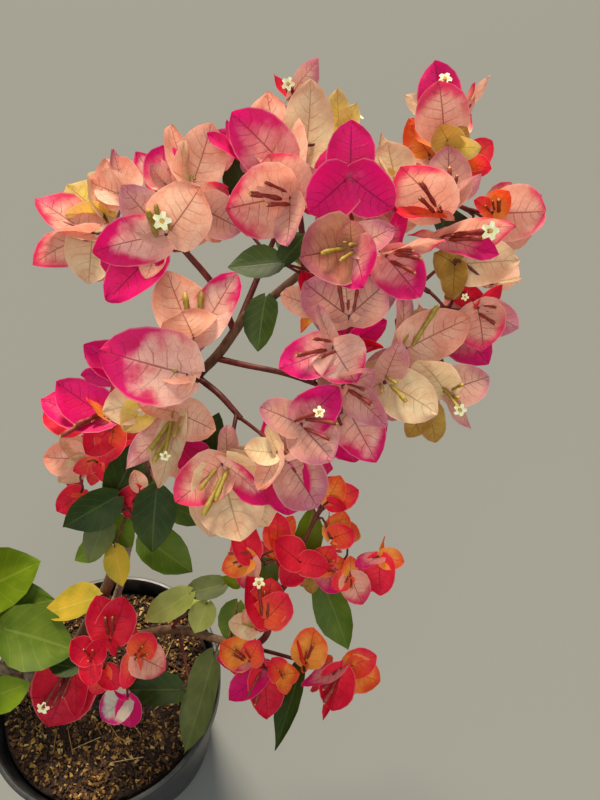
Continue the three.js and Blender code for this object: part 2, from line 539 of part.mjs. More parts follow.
// The place, spread and turn of unit i of a spray, which each attempt varies.
function unitOf(spray, stem, i, attempt) {
  const draw = (k) => chance(spray.seed, i, k + DRAWS * attempt);
  const way = facing(spray, i, spray.units, (draw(0) - 0.5) * UNIT_TURN * attempt);
  const axis = way.clone().addScaledVector(LIGHT, LIGHT_PULL).normalize();
  const distance = spray.reach * (UNIT_NEAREST + UNIT_SCATTER * draw(1));
  const base = vector(spray.heart).addScaledVector(way, distance);
  const footShare = FIRST_FOOT + (1 - FIRST_FOOT) * chance(spray.seed, i, 1);
  const foot = stem.curve.getPointAt(spray.units > 1 ? footShare : ONLY_FOOT);
  const bend = vector(spray.heart).lerp(base, TWIG_BEND);
  const open = OPEN_LEAST + OPEN_RANGE * draw(2);
  const spin = 2 * Math.PI * draw(3);
  const bracts = [0, 1, 2].map((k) => {
    const turn = spin + (2 * Math.PI * k) / BRACTS_IN_UNIT;
    const spoke = acrossAxis(axis, turn);
    const lean = open + OPEN_UNEVEN * (draw(4 + k) - 0.5);
    const along = axis.clone().multiplyScalar(Math.cos(lean)).addScaledVector(spoke, Math.sin(lean));
    const inner = axis.clone().multiplyScalar(Math.sin(lean)).addScaledVector(spoke, -Math.cos(lean));
    const length = spray.bract * (SIZE_LEAST + SIZE_RANGE * draw(8 + k));
    const curl = CURL_RANGE * (draw(12 + k) - CURL_MIDDLE);
    return { turn, length, curl, place: frameAlong(base, along, inner), limit: BRACT_ROOM * Math.sin(lean) };
  });
  const twig = [
    { centre: foot, radius: TWIG_RADIUS },
    { centre: bend, radius: TWIG_RADIUS },
    { centre: base.clone().addScaledVector(axis, -KNOB_DEPTH), radius: PEDICEL_RADIUS },
  ];
  return { base, axis, bracts, twig };
}

// A leaf on its stalk, in one closed surface that starts in the stem.
function leafSurface(leaf, thickness) {
  const { rim, above, below } = bladePoints(LEAF, leaf.length, leaf.curl, thickness, Infinity);
  const half = PEDICEL_RADIUS;
  const moved = [...rim, above, below].map((p) => p.add(new THREE.Vector3(0, leaf.stalk, 0)));
  const neck = [[half, 0], [-half, 0], [0, half], [0, -half]].map(([x, z]) => [x, leaf.stalk, z]);
  const stalk = [[0, leaf.stalk * leaf.stalkFrom, 0], ...neck];
  const corners = [...stalk.map(vector), ...moved].map((p) => p.applyMatrix4(leaf.place));
  const [foot, right, left, neckAbove, neckBelow] = [0, 1, 2, 3, 4];
  const ribAbove = corners.length - 2;
  const ribBelow = corners.length - 1;
  const edge = [right, ...rim.map((_, i) => stalk.length + i), left];
  const faces = [foot, right, neckAbove, foot, neckAbove, left];
  faces.push(foot, neckBelow, right, foot, left, neckBelow);
  faces.push(neckAbove, right, ribAbove, neckAbove, ribAbove, left);
  faces.push(neckBelow, ribBelow, right, neckBelow, left, ribBelow);
  for (let i = 0; i < edge.length - 1; i++) {
    faces.push(ribAbove, edge[i], edge[i + 1], ribBelow, edge[i + 1], edge[i]);
  }
  return solidOf(closedSurface(corners, faces));
}

// The place and size of leaf i of a spray, which each attempt varies.
function leafOf(spray, stem, i, attempt) {
  const draw = (k) => chance(spray.seed + LEAF_SEED, i, k + DRAWS * attempt);
  const way = facing(spray, i, spray.leaves, (draw(0) - 0.5) * LEAF_TURN);
  const foot = stem.curve.getPointAt(LEAF_FIRST_FOOT + (LEAF_FEET * (i + 0.5)) / spray.leaves);
  const droop = way.clone().add(new THREE.Vector3(0, 0, -LEAF_DROOP * draw(2))).normalize();
  const face = new THREE.Vector3(LEAF_TILT * (draw(3) - 0.5), LIGHT.y, 1);
  return {
    place: frameAlong(foot, droop, face),
    stalk: spray.reach * (STALK_LEAST + STALK_RANGE * draw(1)),
    stalkFrom: 0,
    length: spray.bract * (1 + LEAF_RANGE * draw(4)) + LEAF_MORE,
    curl: LEAF_CURL * (draw(5) - LEAF_CURL_MIDDLE),
  };
}

// The same unit on the last millimetre of its twig.
function headOf(unit) {
  const top = unit.twig[unit.twig.length - 1];
  const under = { centre: top.centre.clone().sub(unit.axis), radius: top.radius };
  return { ...unit, twig: [under, top] };
}

// The first turn of a unit at which all its bracts are free, or the one that keeps most.
function growUnit(spray, stem, i) {
  let best = null;
  for (let attempt = 0; attempt < TRIES; attempt++) {
    const unit = unitOf(spray, stem, i, attempt);
    const present = [0, 1, 2].map((k) => {
      const alone = [k === 0, k === 1, k === 2];
      const head = unitSurface(headOf(unit), alone, ROOMY_THICKNESS);
      return isFree(unitSurface(unit, alone, ROOMY_THICKNESS), head, spray.name);
    });
    const count = present.filter(Boolean).length;
    if (!best || count > best.count) {
      best = { unit, present, count };
    }
    if (count === BRACTS_IN_UNIT) {
      break;
    }
  }
  if (!best.count) {
    return null;
  }
  keep(unitSurface(headOf(best.unit), best.present, BLADE_THICKNESS), spray.name, true);
  return unitSurface(best.unit, best.present, BLADE_THICKNESS);
}

// The first turn of a leaf that is free, if there is one.
function growLeaf(spray, stem, i) {
  for (let attempt = 0; attempt < TRIES; attempt++) {
    const leaf = leafOf(spray, stem, i, attempt);
    const head = { ...leaf, stalkFrom: STALK_HEAD };
    if (isFree(leafSurface(leaf, ROOMY_THICKNESS), leafSurface(head, ROOMY_THICKNESS), spray.name)) {
      keep(leafSurface(head, BLADE_THICKNESS), spray.name, true);
      return leafSurface(leaf, BLADE_THICKNESS);
    }
  }
  return null;
}

function growSpray(spray, stem) {
  let solid = stem.solid;
  const parts = [];
  for (let i = 0; i < spray.units; i++) {
    parts.push(growUnit(spray, stem, i));
  }
  for (let i = 0; i < spray.leaves; i++) {
    parts.push(growLeaf(spray, stem, i));
  }
  for (const part of parts.filter((made) => made)) {
    solid = solid.add(part);
    keep(part, spray.name);
  }
  solid = largestBody(solid.subtract(limbs.get(spray.on).fatter));
  addNode(spray.name, geometryOf(solid), COLOURS[spray.tint], 0.8);
}

const pot = potSolid();
const soil = soilSolid();
keep(pot, "pot");
keep(soil, "soil");
addNode("pot", geometryOf(pot), COLOURS.pot, 0.55);
addNode("soil", geometryOf(soil), COLOURS.soil, 0.95);

LIMBS.forEach(growLimb);
for (const { limb, solid, fatter } of limbs.values()) {
  keep(fatter, limb.name);
  addNode(limb.name, geometryOf(solid), COLOURS[limb.bark], 0.85);
}

// All stems come before any unit or leaf, so that these keep clear of every stem.
const stems = new Map(SPRAYS.map((spray) => [spray.name, stemOf(spray)]));
for (const [name, stem] of stems) {
  keep(stem.solid, name);
}
SPRAYS.forEach((spray) => growSpray(spray, stems.get(spray.name)));

export default group;
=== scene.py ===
# %% [markdown]
# # A bougainvillea bush in its nursery pot
# The plant is a young bush with one arching stem. What look like petals are bracts: thin, papery,
# coloured leaves that stand in threes round small tube flowers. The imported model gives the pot,
# the limbs and the masses of bracts at their real places. This lesson dresses each of them with a
# mesh that has the real outline, relief and colour.

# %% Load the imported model
import math
from collections import namedtuple

import bpy
import numpy as np
from mathutils import Matrix, Vector
from mathutils.bvhtree import BVHTree


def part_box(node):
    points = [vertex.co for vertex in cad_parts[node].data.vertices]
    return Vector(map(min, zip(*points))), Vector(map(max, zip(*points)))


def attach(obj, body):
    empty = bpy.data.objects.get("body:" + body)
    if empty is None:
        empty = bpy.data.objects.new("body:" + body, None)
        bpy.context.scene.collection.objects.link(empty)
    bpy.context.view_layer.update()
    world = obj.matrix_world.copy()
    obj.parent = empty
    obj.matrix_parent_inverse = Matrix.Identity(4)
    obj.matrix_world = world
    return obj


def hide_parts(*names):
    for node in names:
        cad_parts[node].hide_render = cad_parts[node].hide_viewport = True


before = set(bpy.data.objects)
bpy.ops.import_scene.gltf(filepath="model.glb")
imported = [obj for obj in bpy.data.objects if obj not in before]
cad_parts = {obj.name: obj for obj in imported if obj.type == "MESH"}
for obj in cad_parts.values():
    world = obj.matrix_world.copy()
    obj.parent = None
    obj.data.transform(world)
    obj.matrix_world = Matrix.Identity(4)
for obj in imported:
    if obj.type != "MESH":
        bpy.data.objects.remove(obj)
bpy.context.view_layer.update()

MM = 0.001  # the rule of growth is written in millimetres, and Blender works in metres

# %% [markdown]
# The photographer stood close and looked down on the bush at 48 degrees. The pot's rim, a true
# circle, gives that angle and the distance. A helper turns a pixel of the photograph and a
# distance from the camera into a place in space, so that a bract can be set where the photograph
# shows it.

# %% Camera
CAMERA_PLACE = Vector((187.0, -213.5, 837.0))
CAMERA_PITCH = math.radians(48.3)
IMAGE_WIDTH = 600
IMAGE_HEIGHT = 800
FOCAL_PIXELS = 650.0
SENSOR_MM = 36.0

IMAGE_RIGHT = Vector((1, 0, 0))
IMAGE_UP = Vector((0, math.sin(CAMERA_PITCH), math.cos(CAMERA_PITCH)))
CAMERA_WAY = Vector((0, math.cos(CAMERA_PITCH), -math.sin(CAMERA_PITCH)))

bpy.ops.object.camera_add(location=CAMERA_PLACE * MM,
                          rotation=(math.pi / 2 - CAMERA_PITCH, 0, 0))
camera = bpy.context.object
camera.name = "camera"
camera.data.sensor_width = SENSOR_MM
camera.data.lens = FOCAL_PIXELS / IMAGE_HEIGHT * SENSOR_MM
camera.data.clip_start = 0.01
bpy.context.scene.camera = camera


def depth_of(place):
    """The distance from the camera to a place, along the camera's own way of looking."""
    return (place - CAMERA_PLACE).dot(CAMERA_WAY)


def seen_at(u, v, depth):
    """The place in space that shows at pixel (u, v), at a distance from the camera."""
    right = (u - IMAGE_WIDTH / 2) / FOCAL_PIXELS
    up = (IMAGE_HEIGHT / 2 - v) / FOCAL_PIXELS
    return CAMERA_PLACE + depth * (CAMERA_WAY + right * IMAGE_RIGHT + up * IMAGE_UP)


print("camera lens", round(camera.data.lens, 2), "mm")

# %% [markdown]
# A few small tools serve the whole lesson. One turns a colour from its sRGB hex value to the
# linear numbers that shaders work in. One adds a shader node with its settings and links, and
# four short ones use it for the steps that every finish needs. One starts a material with its
# output node, so that each finish below shows only what is its own.

# %% Small tools
def linear(hex_colour):
    """An sRGB hex colour as linear red, green, blue and alpha."""
    parts = [int(hex_colour[i:i + 2], 16) / 255 for i in (0, 2, 4)]
    straight = [c / 12.92 if c <= 0.04045 else ((c + 0.055) / 1.055) ** 2.4 for c in parts]
    return (*straight, 1.0)


def add(tree, kind, inputs=None, **settings):
    """Adds one node. Inputs maps a socket to its value, or to the output that feeds it."""
    made = tree.nodes.new(kind)
    for name, value in settings.items():
        setattr(made, name, value)
    for key, value in (inputs or {}).items():
        if isinstance(value, bpy.types.NodeSocket):
            tree.links.new(value, made.inputs[key])
        else:
            made.inputs[key].default_value = value
    return made


def calc(tree, operation, *values):
    """One step of arithmetic, on numbers and on the outputs of other nodes."""
    return add(tree, "ShaderNodeMath", dict(enumerate(values)), operation=operation).outputs[0]


def ramp(tree, value, start, stop, low=0.0, high=1.0, kind="LINEAR"):
    """Goes from low to high while the value goes from start to stop, and no further."""
    made = add(tree, "ShaderNodeMapRange", {"Value": value, "From Min": start, "From Max": stop,
                                            "To Min": low, "To Max": high},
               interpolation_type=kind)
    return made.outputs[0]


def blend(tree, share, first, second, kind="MIX"):
    """A colour between two others."""
    return add(tree, "ShaderNodeMix", {0: share, 6: first, 7: second}, data_type="RGBA",
               blend_type=kind).outputs[2]


def noise(tree, place, scale, detail, roughness=0.5):
    """A cloudy pattern, with scale in clouds to the metre."""
    return add(tree, "ShaderNodeTexNoise", {"Vector": place, "Scale": scale, "Detail": detail,
                                            "Roughness": roughness}).outputs["Fac"]


def new_material(name):
    """A material with its output and its object's coordinates, and nothing else yet."""
    material = bpy.data.materials.new(name)
    material.use_nodes = True
    tree = material.node_tree
    tree.nodes.clear()
    output = tree.nodes.new("ShaderNodeOutputMaterial")
    return material, tree, output, add(tree, "ShaderNodeTexCoord").outputs["Object"]


def deselect_all():
    for item in bpy.context.selected_objects:
        item.select_set(False)


def finish_piece(piece, replaced=()):
    """The piece rides on the object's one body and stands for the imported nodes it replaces."""
    deselect_all()
    if replaced:
        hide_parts(*replaced)
    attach(piece, "root")


# %% [markdown]
# ## The finishes
# A bract is as thin as tissue paper. Light comes through it, so its material mixes a matte
# surface with a translucent one. Its colour runs from a pale heart to a strong margin, along a
# border that the veins break up. The veins are dark and fine: one midrib, looping side veins
# and a faint net between them. They are drawn in the blade's own coordinates, where u runs
# across from edge to edge and v from foot to tip.

# %% Finish of the bracts
SIDE_VEINS = 6.5  # pairs of side veins along one bract
NET_CELLS = 9.0  # cells of the fine net across one bract, each about 4 mm wide


def blade_places(tree):
    """Places on a blade: both coordinates, v alone, how far right of the rib, and how far off."""
    blade = add(tree, "ShaderNodeUVMap", uv_map="blade").outputs[0]
    parts = add(tree, "ShaderNodeSeparateXYZ", {0: blade})
    rightward = calc(tree, "MULTIPLY_ADD", parts.outputs[0], 2.0, -1.0)
    return blade, parts.outputs[1], rightward, calc(tree, "ABSOLUTE", rightward)


def side_veins(tree, rise, count, widths, strength, kind="LINEAR"):
    """Lines at even steps along a rise, as strong as told at their middles."""
    near = calc(tree, "PINGPONG", calc(tree, "MULTIPLY", rise, count), 0.5)
    return ramp(tree, near, *widths, strength, 0.0, kind)


def thin_surface(tree, output, colour, bump, roughness, gloss, through):
    """A matte surface that lets some light through."""
    surface = add(tree, "ShaderNodeBsdfPrincipled",
                  {"Base Color": colour, "Roughness": roughness, "Specular IOR Level": gloss,
                   "Normal": bump.outputs[0]})
    glow = add(tree, "ShaderNodeBsdfTranslucent", {"Color": colour})
    both = add(tree, "ShaderNodeMixShader",
               {0: through, 1: surface.outputs[0], 2: glow.outputs[0]})
    tree.links.new(both.outputs[0], output.inputs["Surface"])


def bract_paper(name, heart, margin, vein, margin_from, margin_full, vein_strength):
    """Papery bract: what gives it away is the flush of colour at its margin and its veins."""
    material, tree, output, place = new_material(name)
    blade, along, rightward, off_rib = blade_places(tree)
    cloud = noise(tree, place, 90.0, 3.0)
    flush = add(tree, "ShaderNodeAttribute", attribute_name="flush").outputs["Fac"]

    edge = calc(tree, "POWER", off_rib, 2.0)
    reach = calc(tree, "MULTIPLY_ADD", edge, 0.32, along)
    broken = calc(tree, "MULTIPLY_ADD", cloud, 0.7, reach)
    moved = calc(tree, "ADD", broken, flush)
    border = ramp(tree, moved, margin_from + 0.35, margin_full + 0.35, kind="SMOOTHSTEP")
    flat = blend(tree, border, linear(heart), linear(margin))
    # cloudy patches multiply the paper towards dark coral: painted shadow of overlapping bracts
    painted_shadow = ramp(tree, cloud, 0.4, 0.62, 0.0, 0.35)
    paper = blend(tree, painted_shadow, flat, linear("e4b0a0"), "MULTIPLY")

    rib = ramp(tree, off_rib, 0.01, 0.042, 1.0, 0.0, "SMOOTHSTEP")
    rise = calc(tree, "MULTIPLY_ADD", off_rib, -0.3, along)
    arch = calc(tree, "MULTIPLY_ADD", edge, -0.16, rise)
    bent = calc(tree, "MULTIPLY", cloud, off_rib)
    waver = calc(tree, "MULTIPLY_ADD", bent, 0.4, arch)
    right_side = calc(tree, "GREATER_THAN", rightward, 0.0)
    stagger = calc(tree, "MULTIPLY_ADD", right_side, 0.06, waver)
    side = side_veins(tree, stagger, SIDE_VEINS, (0.008, 0.07), 0.8, "SMOOTHSTEP")
    faded = calc(tree, "MULTIPLY", side, ramp(tree, off_rib, 0.2, 0.92, 1.0, 0.1))
    cells = add(tree, "ShaderNodeTexVoronoi",
                {"Vector": blade, "Scale": NET_CELLS, "Randomness": 0.9},
                feature="DISTANCE_TO_EDGE", voronoi_dimensions="2D")
    net = ramp(tree, cells.outputs["Distance"], 0.0, 0.06, 0.3, 0.0)
    veins = calc(tree, "MAXIMUM", calc(tree, "MAXIMUM", rib, faded), net)
    veined = blend(tree, calc(tree, "MULTIPLY", veins, vein_strength), paper, linear(vein))
    # the outermost rim blends to pale pink: a painted highlight along the margin
    colour = blend(tree, ramp(tree, off_rib, 0.93, 1.0, 0.0, 0.28), veined, linear("ffd9cc"))

    height = calc(tree, "MULTIPLY_ADD", veins, -0.8, noise(tree, place, 260.0, 2.0))
    bump = add(tree, "ShaderNodeBump", {"Height": height, "Strength": 0.45, "Distance": 0.0006})
    thin_surface(tree, output, colour, bump, 0.5, 0.25, 0.42)
    return material


# Each tone of paper, as its heart, margin and vein colours, where the margin's colour starts and
# is full along the blade, and how strongly the veins show.
PAPERS = {
    "peach": ("peach", "f8c8aa", "f0a488", "8e2e22", 0.4, 1.15, 0.7),
    "blush": ("peach with a pink margin", "f4b69c", "e63c6a", "8c2822", 0.62, 1.06, 0.75),
    "flushed": ("peach with a magenta tip", "f3c3b0", "e00d70", "861c30", 0.5, 0.9, 0.7),
    "cream": ("cream", "ecdaac", "e4c09a", "905f34", 0.4, 1.15, 0.55),
    "yellow": ("yellow", "ecd25a", "dcc070", "94681c", 0.3, 1.1, 0.5),
    # olive, tan and mauve are darkened copies of yellow and peach: painted shade within the crown
    "olive": ("olive, painted shade of yellow", "bc9a44", "ac8440", "5e3a12", 0.4, 1.15, 0.6),
    "tan": ("shaded tan", "c48a68", "b8646c", "6a2018", 0.5, 1.1, 0.75),
    "mauve": ("shaded mauve pink", "e0ac98", "cf8092", "742228", 0.5, 1.1, 0.75),
    "rose": ("rose with a magenta margin", "ec9c98", "e01476", "7e1238", 0.28, 0.8, 0.75),
    "magenta": ("magenta", "ea7c96", "e20870", "6c0830", -0.15, 0.25, 0.7),
    "crimson": ("crimson", "fa2c44", "dc0836", "64081e", 0.1, 0.95, 0.6),
    "scarlet": ("scarlet", "ff6a3a", "f22444", "7c121c", 0.3, 1.0, 0.55),
    "orange": ("orange", "ffaa44", "fa6030", "90240f", 0.35, 1.0, 0.55),
    "white": ("greenish white with a magenta margin", "d4d2bc", "c6207c", "6c5a50",
              0.6, 0.9, 0.35),
}
TONES = {tone: bract_paper("bract paper, " + words, *looks)
         for tone, (words, *looks) in PAPERS.items()}
print("tones of bract paper:", ", ".join(TONES))

# %% [markdown]
# A leaf is thicker and glossier than a bract, with a waxy upper skin. Its midrib and side veins
# are paler than the blade. Old leaves are dark, young ones are a bright yellowish green, and a
# few near the foot turn yellow before they drop.

# %% Finish of the leaves
LEAF_VEINS = 5.5  # pairs of side veins along one leaf


def leaf_skin(name, blade_colour, patch_colour, vein):
    """Waxy leaf: a soft gloss, pale veins and slow changes of green give it away."""
    material, tree, output, place = new_material(name)
    along, _, off_rib = blade_places(tree)[1:]
    patch = ramp(tree, noise(tree, place, 55.0, 3.0), 0.35, 0.7)
    green = blend(tree, patch, linear(blade_colour), linear(patch_colour))
    rib = ramp(tree, off_rib, 0.02, 0.07, 1.0, 0.0)
    rise = calc(tree, "MULTIPLY_ADD", off_rib, -0.35, along)
    side = side_veins(tree, rise, LEAF_VEINS, (0.01, 0.07), 0.5)
    veins = calc(tree, "MAXIMUM", rib, side)
    colour = blend(tree, calc(tree, "MULTIPLY", veins, 0.2), green, linear(vein))
    bump = add(tree, "ShaderNodeBump", {"Height": veins, "Strength": 0.25, "Distance": 0.0005},
               invert=True)
    thin_surface(tree, output, colour, bump, 0.52, 0.22, 0.2)
    return material


GREENS = {
    "dark": leaf_skin("old leaf, dark green", "1f3207", "32440d", "74844a"),
    "mid": leaf_skin("leaf, mid green", "425a0c", "586b16", "8e9a50"),
    "pale": leaf_skin("young leaf, pale green", "7c843a", "90954e", "b4ba78"),
    "bright": leaf_skin("young leaf, bright yellow green", "556d03", "677c08", "9aa846"),
    "turning": leaf_skin("turning leaf, yellow", "a98c1e", "80791a", "c8b25a"),
    # grey is a darkened copy of the mid green: painted shade for leaves under the crown
    "grey": leaf_skin("shaded leaf, grey green", "4a5428", "5c6334", "868c5a"),
}
print("greens:", ", ".join(GREENS))

# %% [markdown]
# The rest of the plant has plain, slightly rough skins. Tube flowers are olive or red-brown, and
# the few that are open end in a small cream star. Young shoots are dark red-brown, older stems
# are olive brown, and the oldest wood is grey and cracked.

# %% Finishes of flowers, shoots and bark
def skin(name, colour, other, grain, roughness, relief, stretch=(1.0, 1.0, 1.0)):
    """A matte natural skin: two near colours in a grain of a real size, with a shallow relief."""
    material, tree, output, place = new_material(name)
    scaled = add(tree, "ShaderNodeMapping", {"Vector": place, "Scale": stretch}).outputs[0]
    grains = noise(tree, scaled, 1 / (grain * MM), 4.0, 0.6)
    blended = blend(tree, ramp(tree, grains, 0.35, 0.65), linear(colour), linear(other))
    bump = add(tree, "ShaderNodeBump",
               {"Height": grains, "Strength": 0.6, "Distance": relief * MM})
    surface = add(tree, "ShaderNodeBsdfPrincipled",
                  {"Base Color": blended, "Roughness": roughness, "Specular IOR Level": 0.35,
                   "Normal": bump.outputs[0]})
    tree.links.new(surface.outputs[0], output.inputs["Surface"])
    return material


LENGTHWISE = (1.0, 1.0, 0.22)  # grain drawn out along the upright stems
FLOWER_FINISHES = [
    skin("flower tube, olive yellow", "85721f", "a38c38", 3.0, 0.5, 0.1),
    skin("flower tube, red brown", "6e1d16", "93362a", 3.0, 0.5, 0.1),
    skin("flower mouth, ochre", "b8862e", "d3a748", 2.0, 0.5, 0.1),
    skin("open flower, cream star", "f3eecb", "e4e2a2", 2.0, 0.55, 0.1),
]
SHOOT_FINISH = skin("young shoot, red brown", "4c1c18", "6b2c22", 4.0, 0.5, 0.2, LENGTHWISE)
BARK_FINISHES = {
    "shoot": SHOOT_FINISH,
    "young": skin("green-brown young bark", "4a3124", "6f5236", 5.0, 0.62, 0.5, LENGTHWISE),
    "old": skin("grey cracked old bark", "6d5a4a", "a08c74", 3.5, 0.8, 1.0, LENGTHWISE),
}
CUT_WOOD = skin("fresh cut wood", "b0753c", "c99457", 1.5, 0.7, 0.3)
print("bark:", ", ".join(BARK_FINISHES))

# %% [markdown]
# ## Curves
# Limbs follow a smooth curve through a few points, and the stems of the sprays follow a simple
# arch. Both are kept as evenly spaced points, so that any share of the length has its place
# and its direction.

# %% Smooth ways through points
class Way:
    """A curve kept as close points, read by the share of its length."""

    def __init__(self, points):
        self.points = np.array(points)
        steps = np.linalg.norm(np.diff(self.points, axis=0), axis=1)
        self.run = np.concatenate([[0], np.cumsum(steps)])
        self.length = self.run[-1]

    def at(self, share):
        distance = min(1.0, max(0.0, share)) * self.length
        return Vector([np.interp(distance, self.run, self.points[:, k]) for k in range(3)])

    def heading(self, share):
        return (self.at(share + 0.01) - self.at(share - 0.01)).normalized()


def smooth_way(corners, steps=24):
    """A centripetal Catmull-Rom curve through the corners."""
    p = [np.array(c, float) for c in corners]
    p = [2 * p[0] - p[1], *p, 2 * p[-1] - p[-2]]
    points = []
    for i in range(1, len(p) - 2):
        before, here, there, after = p[i - 1:i + 3]
        d0, d1, d2 = [np.linalg.norm(b - a) ** 0.5 for a, b in
                      ((before, here), (here, there), (there, after))]
        leave = d1 * ((here - before) / d0 - (there - before) / (d0 + d1) + (there - here) / d1)
        arrive = d1 * ((there - here) / d1 - (after - here) / (d1 + d2) + (after - there) / d2)
        for t in np.arange(steps) / steps:
            points.append(here + leave * t + (3 * (there - here) - 2 * leave - arrive) * t ** 2
                          + (2 * (here - there) + leave + arrive) * t ** 3)
    points.append(p[-2])
    return Way(points)


def arch_way(start, middle, end, steps=16):
    """An arch that leaves its start towards the middle point and comes in to its end from it."""
    shares = np.linspace(0, 1, steps + 1)
    return Way([(1 - t) ** 2 * np.array(start) + 2 * t * (1 - t) * np.array(middle)
                + t * t * np.array(end) for t in shares])


# %% [markdown]
# ## The limbs
# The trunk is short, grey and cracked, with a flare where it meets the soil. It carries the long
# arching stem, a second stem, a bough to the right and a pruned stub on the left. Each limb is a
# curve with a round bevel that tapers, turned into a mesh. A displacement then raises ridges
# and cracks in the bark, finer on the young stems.

# %% Limbs
GAP = 0.3  # between one solid and the next
SOIL_LEVEL = 172  # height of the soil's top

LIMBS = {
    "trunk": dict(path=[(-36, 19, 166), (-34, 21, 190), (-30, 26, 212)],
                  radius=(12, 8.5), flare=1.45, bark="old"),
    "main_stem_low": dict(path=[(-30, 26, 209), (-8, 42, 246), (16, 56, 292), (31, 65, 335)],
                          radius=(6.2, 4.7), bark="young"),
    "main_stem_middle": dict(after="main_stem_low", radius=(4.6, 3.7), bark="young",
                             path=[(55, 76, 388), (73, 87, 435), (100, 99, 486)]),
    "main_stem_high": dict(after="main_stem_middle", radius=(3.6, 3.3), bark="young",
                           path=[(116, 104, 508), (131, 108, 524), (150, 117, 550)]),
    "main_stem_tip": dict(after="main_stem_high", radius=(3.2, 2.2), bark="young",
                          path=[(168, 119, 564), (187, 122, 581), (208, 124, 598)]),
    "second_stem": dict(radius=(4.2, 2.6), bark="old", path=[
        (-28, 28, 206), (6, 54, 238), (26, 76, 290), (38, 88, 340), (38, 98, 392)]),
    "stub_bough": dict(path=[(-34, 20, 184), (-56, 8, 184), (-74, -3, 190)],
                       radius=(7.5, 7), bark="old"),
    "pruned_stub": dict(after="stub_bough", path=[(-64, 4, 212), (-44, 16, 240)],
                        radius=(6.8, 6.2), bark="old"),
    "left_bough": dict(radius=(5.2, 3), bark="old", path=[
        (-72, -2, 189), (-82, -2, 215), (-98, 6, 246), (-118, 22, 282)]),
    "right_bough": dict(radius=(5, 3.4), bark="young", path=[
        (-31, 24, 200), (22, 34, 212), (70, 32, 238), (108, 18, 252), (140, 4, 262)]),
    "right_bough_rise": dict(after="right_bough", radius=(3.2, 2.2), bark="shoot",
                             path=[(158, 4, 292), (168, 20, 332), (190, 34, 362)]),
    "left_fork": dict(path=[(142, 115, 540), (132, 120, 572), (114, 122, 602)],
                      radius=(2.5, 1.9), bark="shoot"),
    "right_fork": dict(radius=(2.3, 1.6), bark="shoot", path=[
        (128, 107, 521), (150, 97, 524), (175, 86, 528), (202, 66, 536)]),
    "low_fork": dict(path=[(115, 103, 506), (132, 86, 506), (147, 70, 500)],
                     radius=(2.4, 2), bark="shoot"),
    "crown_bough_right": dict(radius=(2.3, 1.6), bark="shoot", path=[
        (196, 123, 588), (224, 112, 590), (248, 112, 588), (268, 108, 578)]),
    "crown_bough_outer": dict(radius=(2.2, 1.5), bark="shoot", path=[
        (205, 124, 595), (226, 132, 600), (250, 142, 608), (268, 154, 622)]),
    "crown_bough_top": dict(path=[(190, 123, 583), (188, 144, 600), (184, 172, 620)],
                            radius=(2.3, 1.6), bark="shoot"),
    "crown_bough_back": dict(path=[(146, 115, 546), (158, 146, 560), (172, 184, 574)],
                             radius=(2.4, 1.7), bark="shoot"),
}
FLARE_SHARE = 0.4  # of the limb's length
RING_STEP = 2.5  # distance between rings of a limb's mesh
BARK_SIDES = {"shoot": 4, "young": 4, "old": 7}  # bevel resolution
RIDGE = {"shoot": 0.3, "young": 0.5, "old": 1.5}  # height of the bark's relief
CRACK_SIZE = {"shoot": 3.0, "young": 3.0, "old": 4.5}


def limb_radius(limb, share):
    foot, tip = limb["radius"]
    spread = (limb.get("flare", 1) - 1) * foot * (1 - min(1, share / FLARE_SHARE)) ** 2
    return foot + (tip - foot) * share + spread


def show_cut(piece, end, heading):
    """The faces of a limb's sawn end take the colour of fresh wood."""
    piece.data.materials.append(CUT_WOOD)
    for face in piece.data.polygons:
        if face.normal.dot(heading) > 0.8 and (face.center - end).length < 8 * MM:
            face.material_index = 1


def make_limb(name, limb):
    path = list(limb["path"])
    if "after" in limb:
        before = LIMBS[limb["after"]]["way"]
        path.insert(0, before.at(1) + before.heading(1) * GAP)
    limb["way"] = way = smooth_way(path)
    count = max(6, round(way.length / RING_STEP))
    bpy.ops.curve.primitive_nurbs_path_add()
    piece = bpy.context.object
    piece.name = name + "_bark"
    line = piece.data
    line.splines.clear()
    spline = line.splines.new("POLY")
    spline.points.add(count)
    for i, point in enumerate(spline.points):
        place = way.at(i / count)
        point.co = (*(place * MM), 1)
        point.radius = limb_radius(limb, i / count)
    line.dimensions = "3D"
    line.bevel_depth = MM
    line.bevel_resolution = BARK_SIDES[limb["bark"]]
    line.use_fill_caps = True
    bpy.ops.object.convert(target="MESH")
    relief = bpy.data.textures.new(name + " relief", "CLOUDS")
    relief.noise_scale = CRACK_SIZE[limb["bark"]] * MM
    relief.noise_depth = 2
    ridges = piece.modifiers.new("ridges", "DISPLACE")
    ridges.texture = relief
    ridges.strength = RIDGE[limb["bark"]] * MM
    ridges.texture_coords = "LOCAL"
    bpy.ops.object.modifier_apply(modifier="ridges")
    piece.data.materials.clear()
    piece.data.materials.append(BARK_FINISHES[limb["bark"]])
    if name == "pruned_stub":
        show_cut(piece, way.at(1) * MM, way.heading(1))
    bpy.ops.object.shade_smooth_by_angle(angle=math.radians(50))
    return piece


limb_pieces = {}
for name, limb in LIMBS.items():
    deselect_all()
    limb_pieces[name] = make_limb(name, limb)
    finish_piece(limb_pieces[name], [name])
print("limbs:", len(limb_pieces), "longest", round(max(l["way"].length for l in LIMBS.values())))

# %% [markdown]
# ## Many small shapes in one mesh
# Bracts, leaves, flowers and twigs are repeated hundreds of times. Each kind is gathered in a
# heap of corners and faces, and the heap becomes one mesh. Every blade keeps two sets of flat
# coordinates: "blade", which the finishes read, and one with a square of its own for each blade,
# so that colours can be kept as an image for other programs.

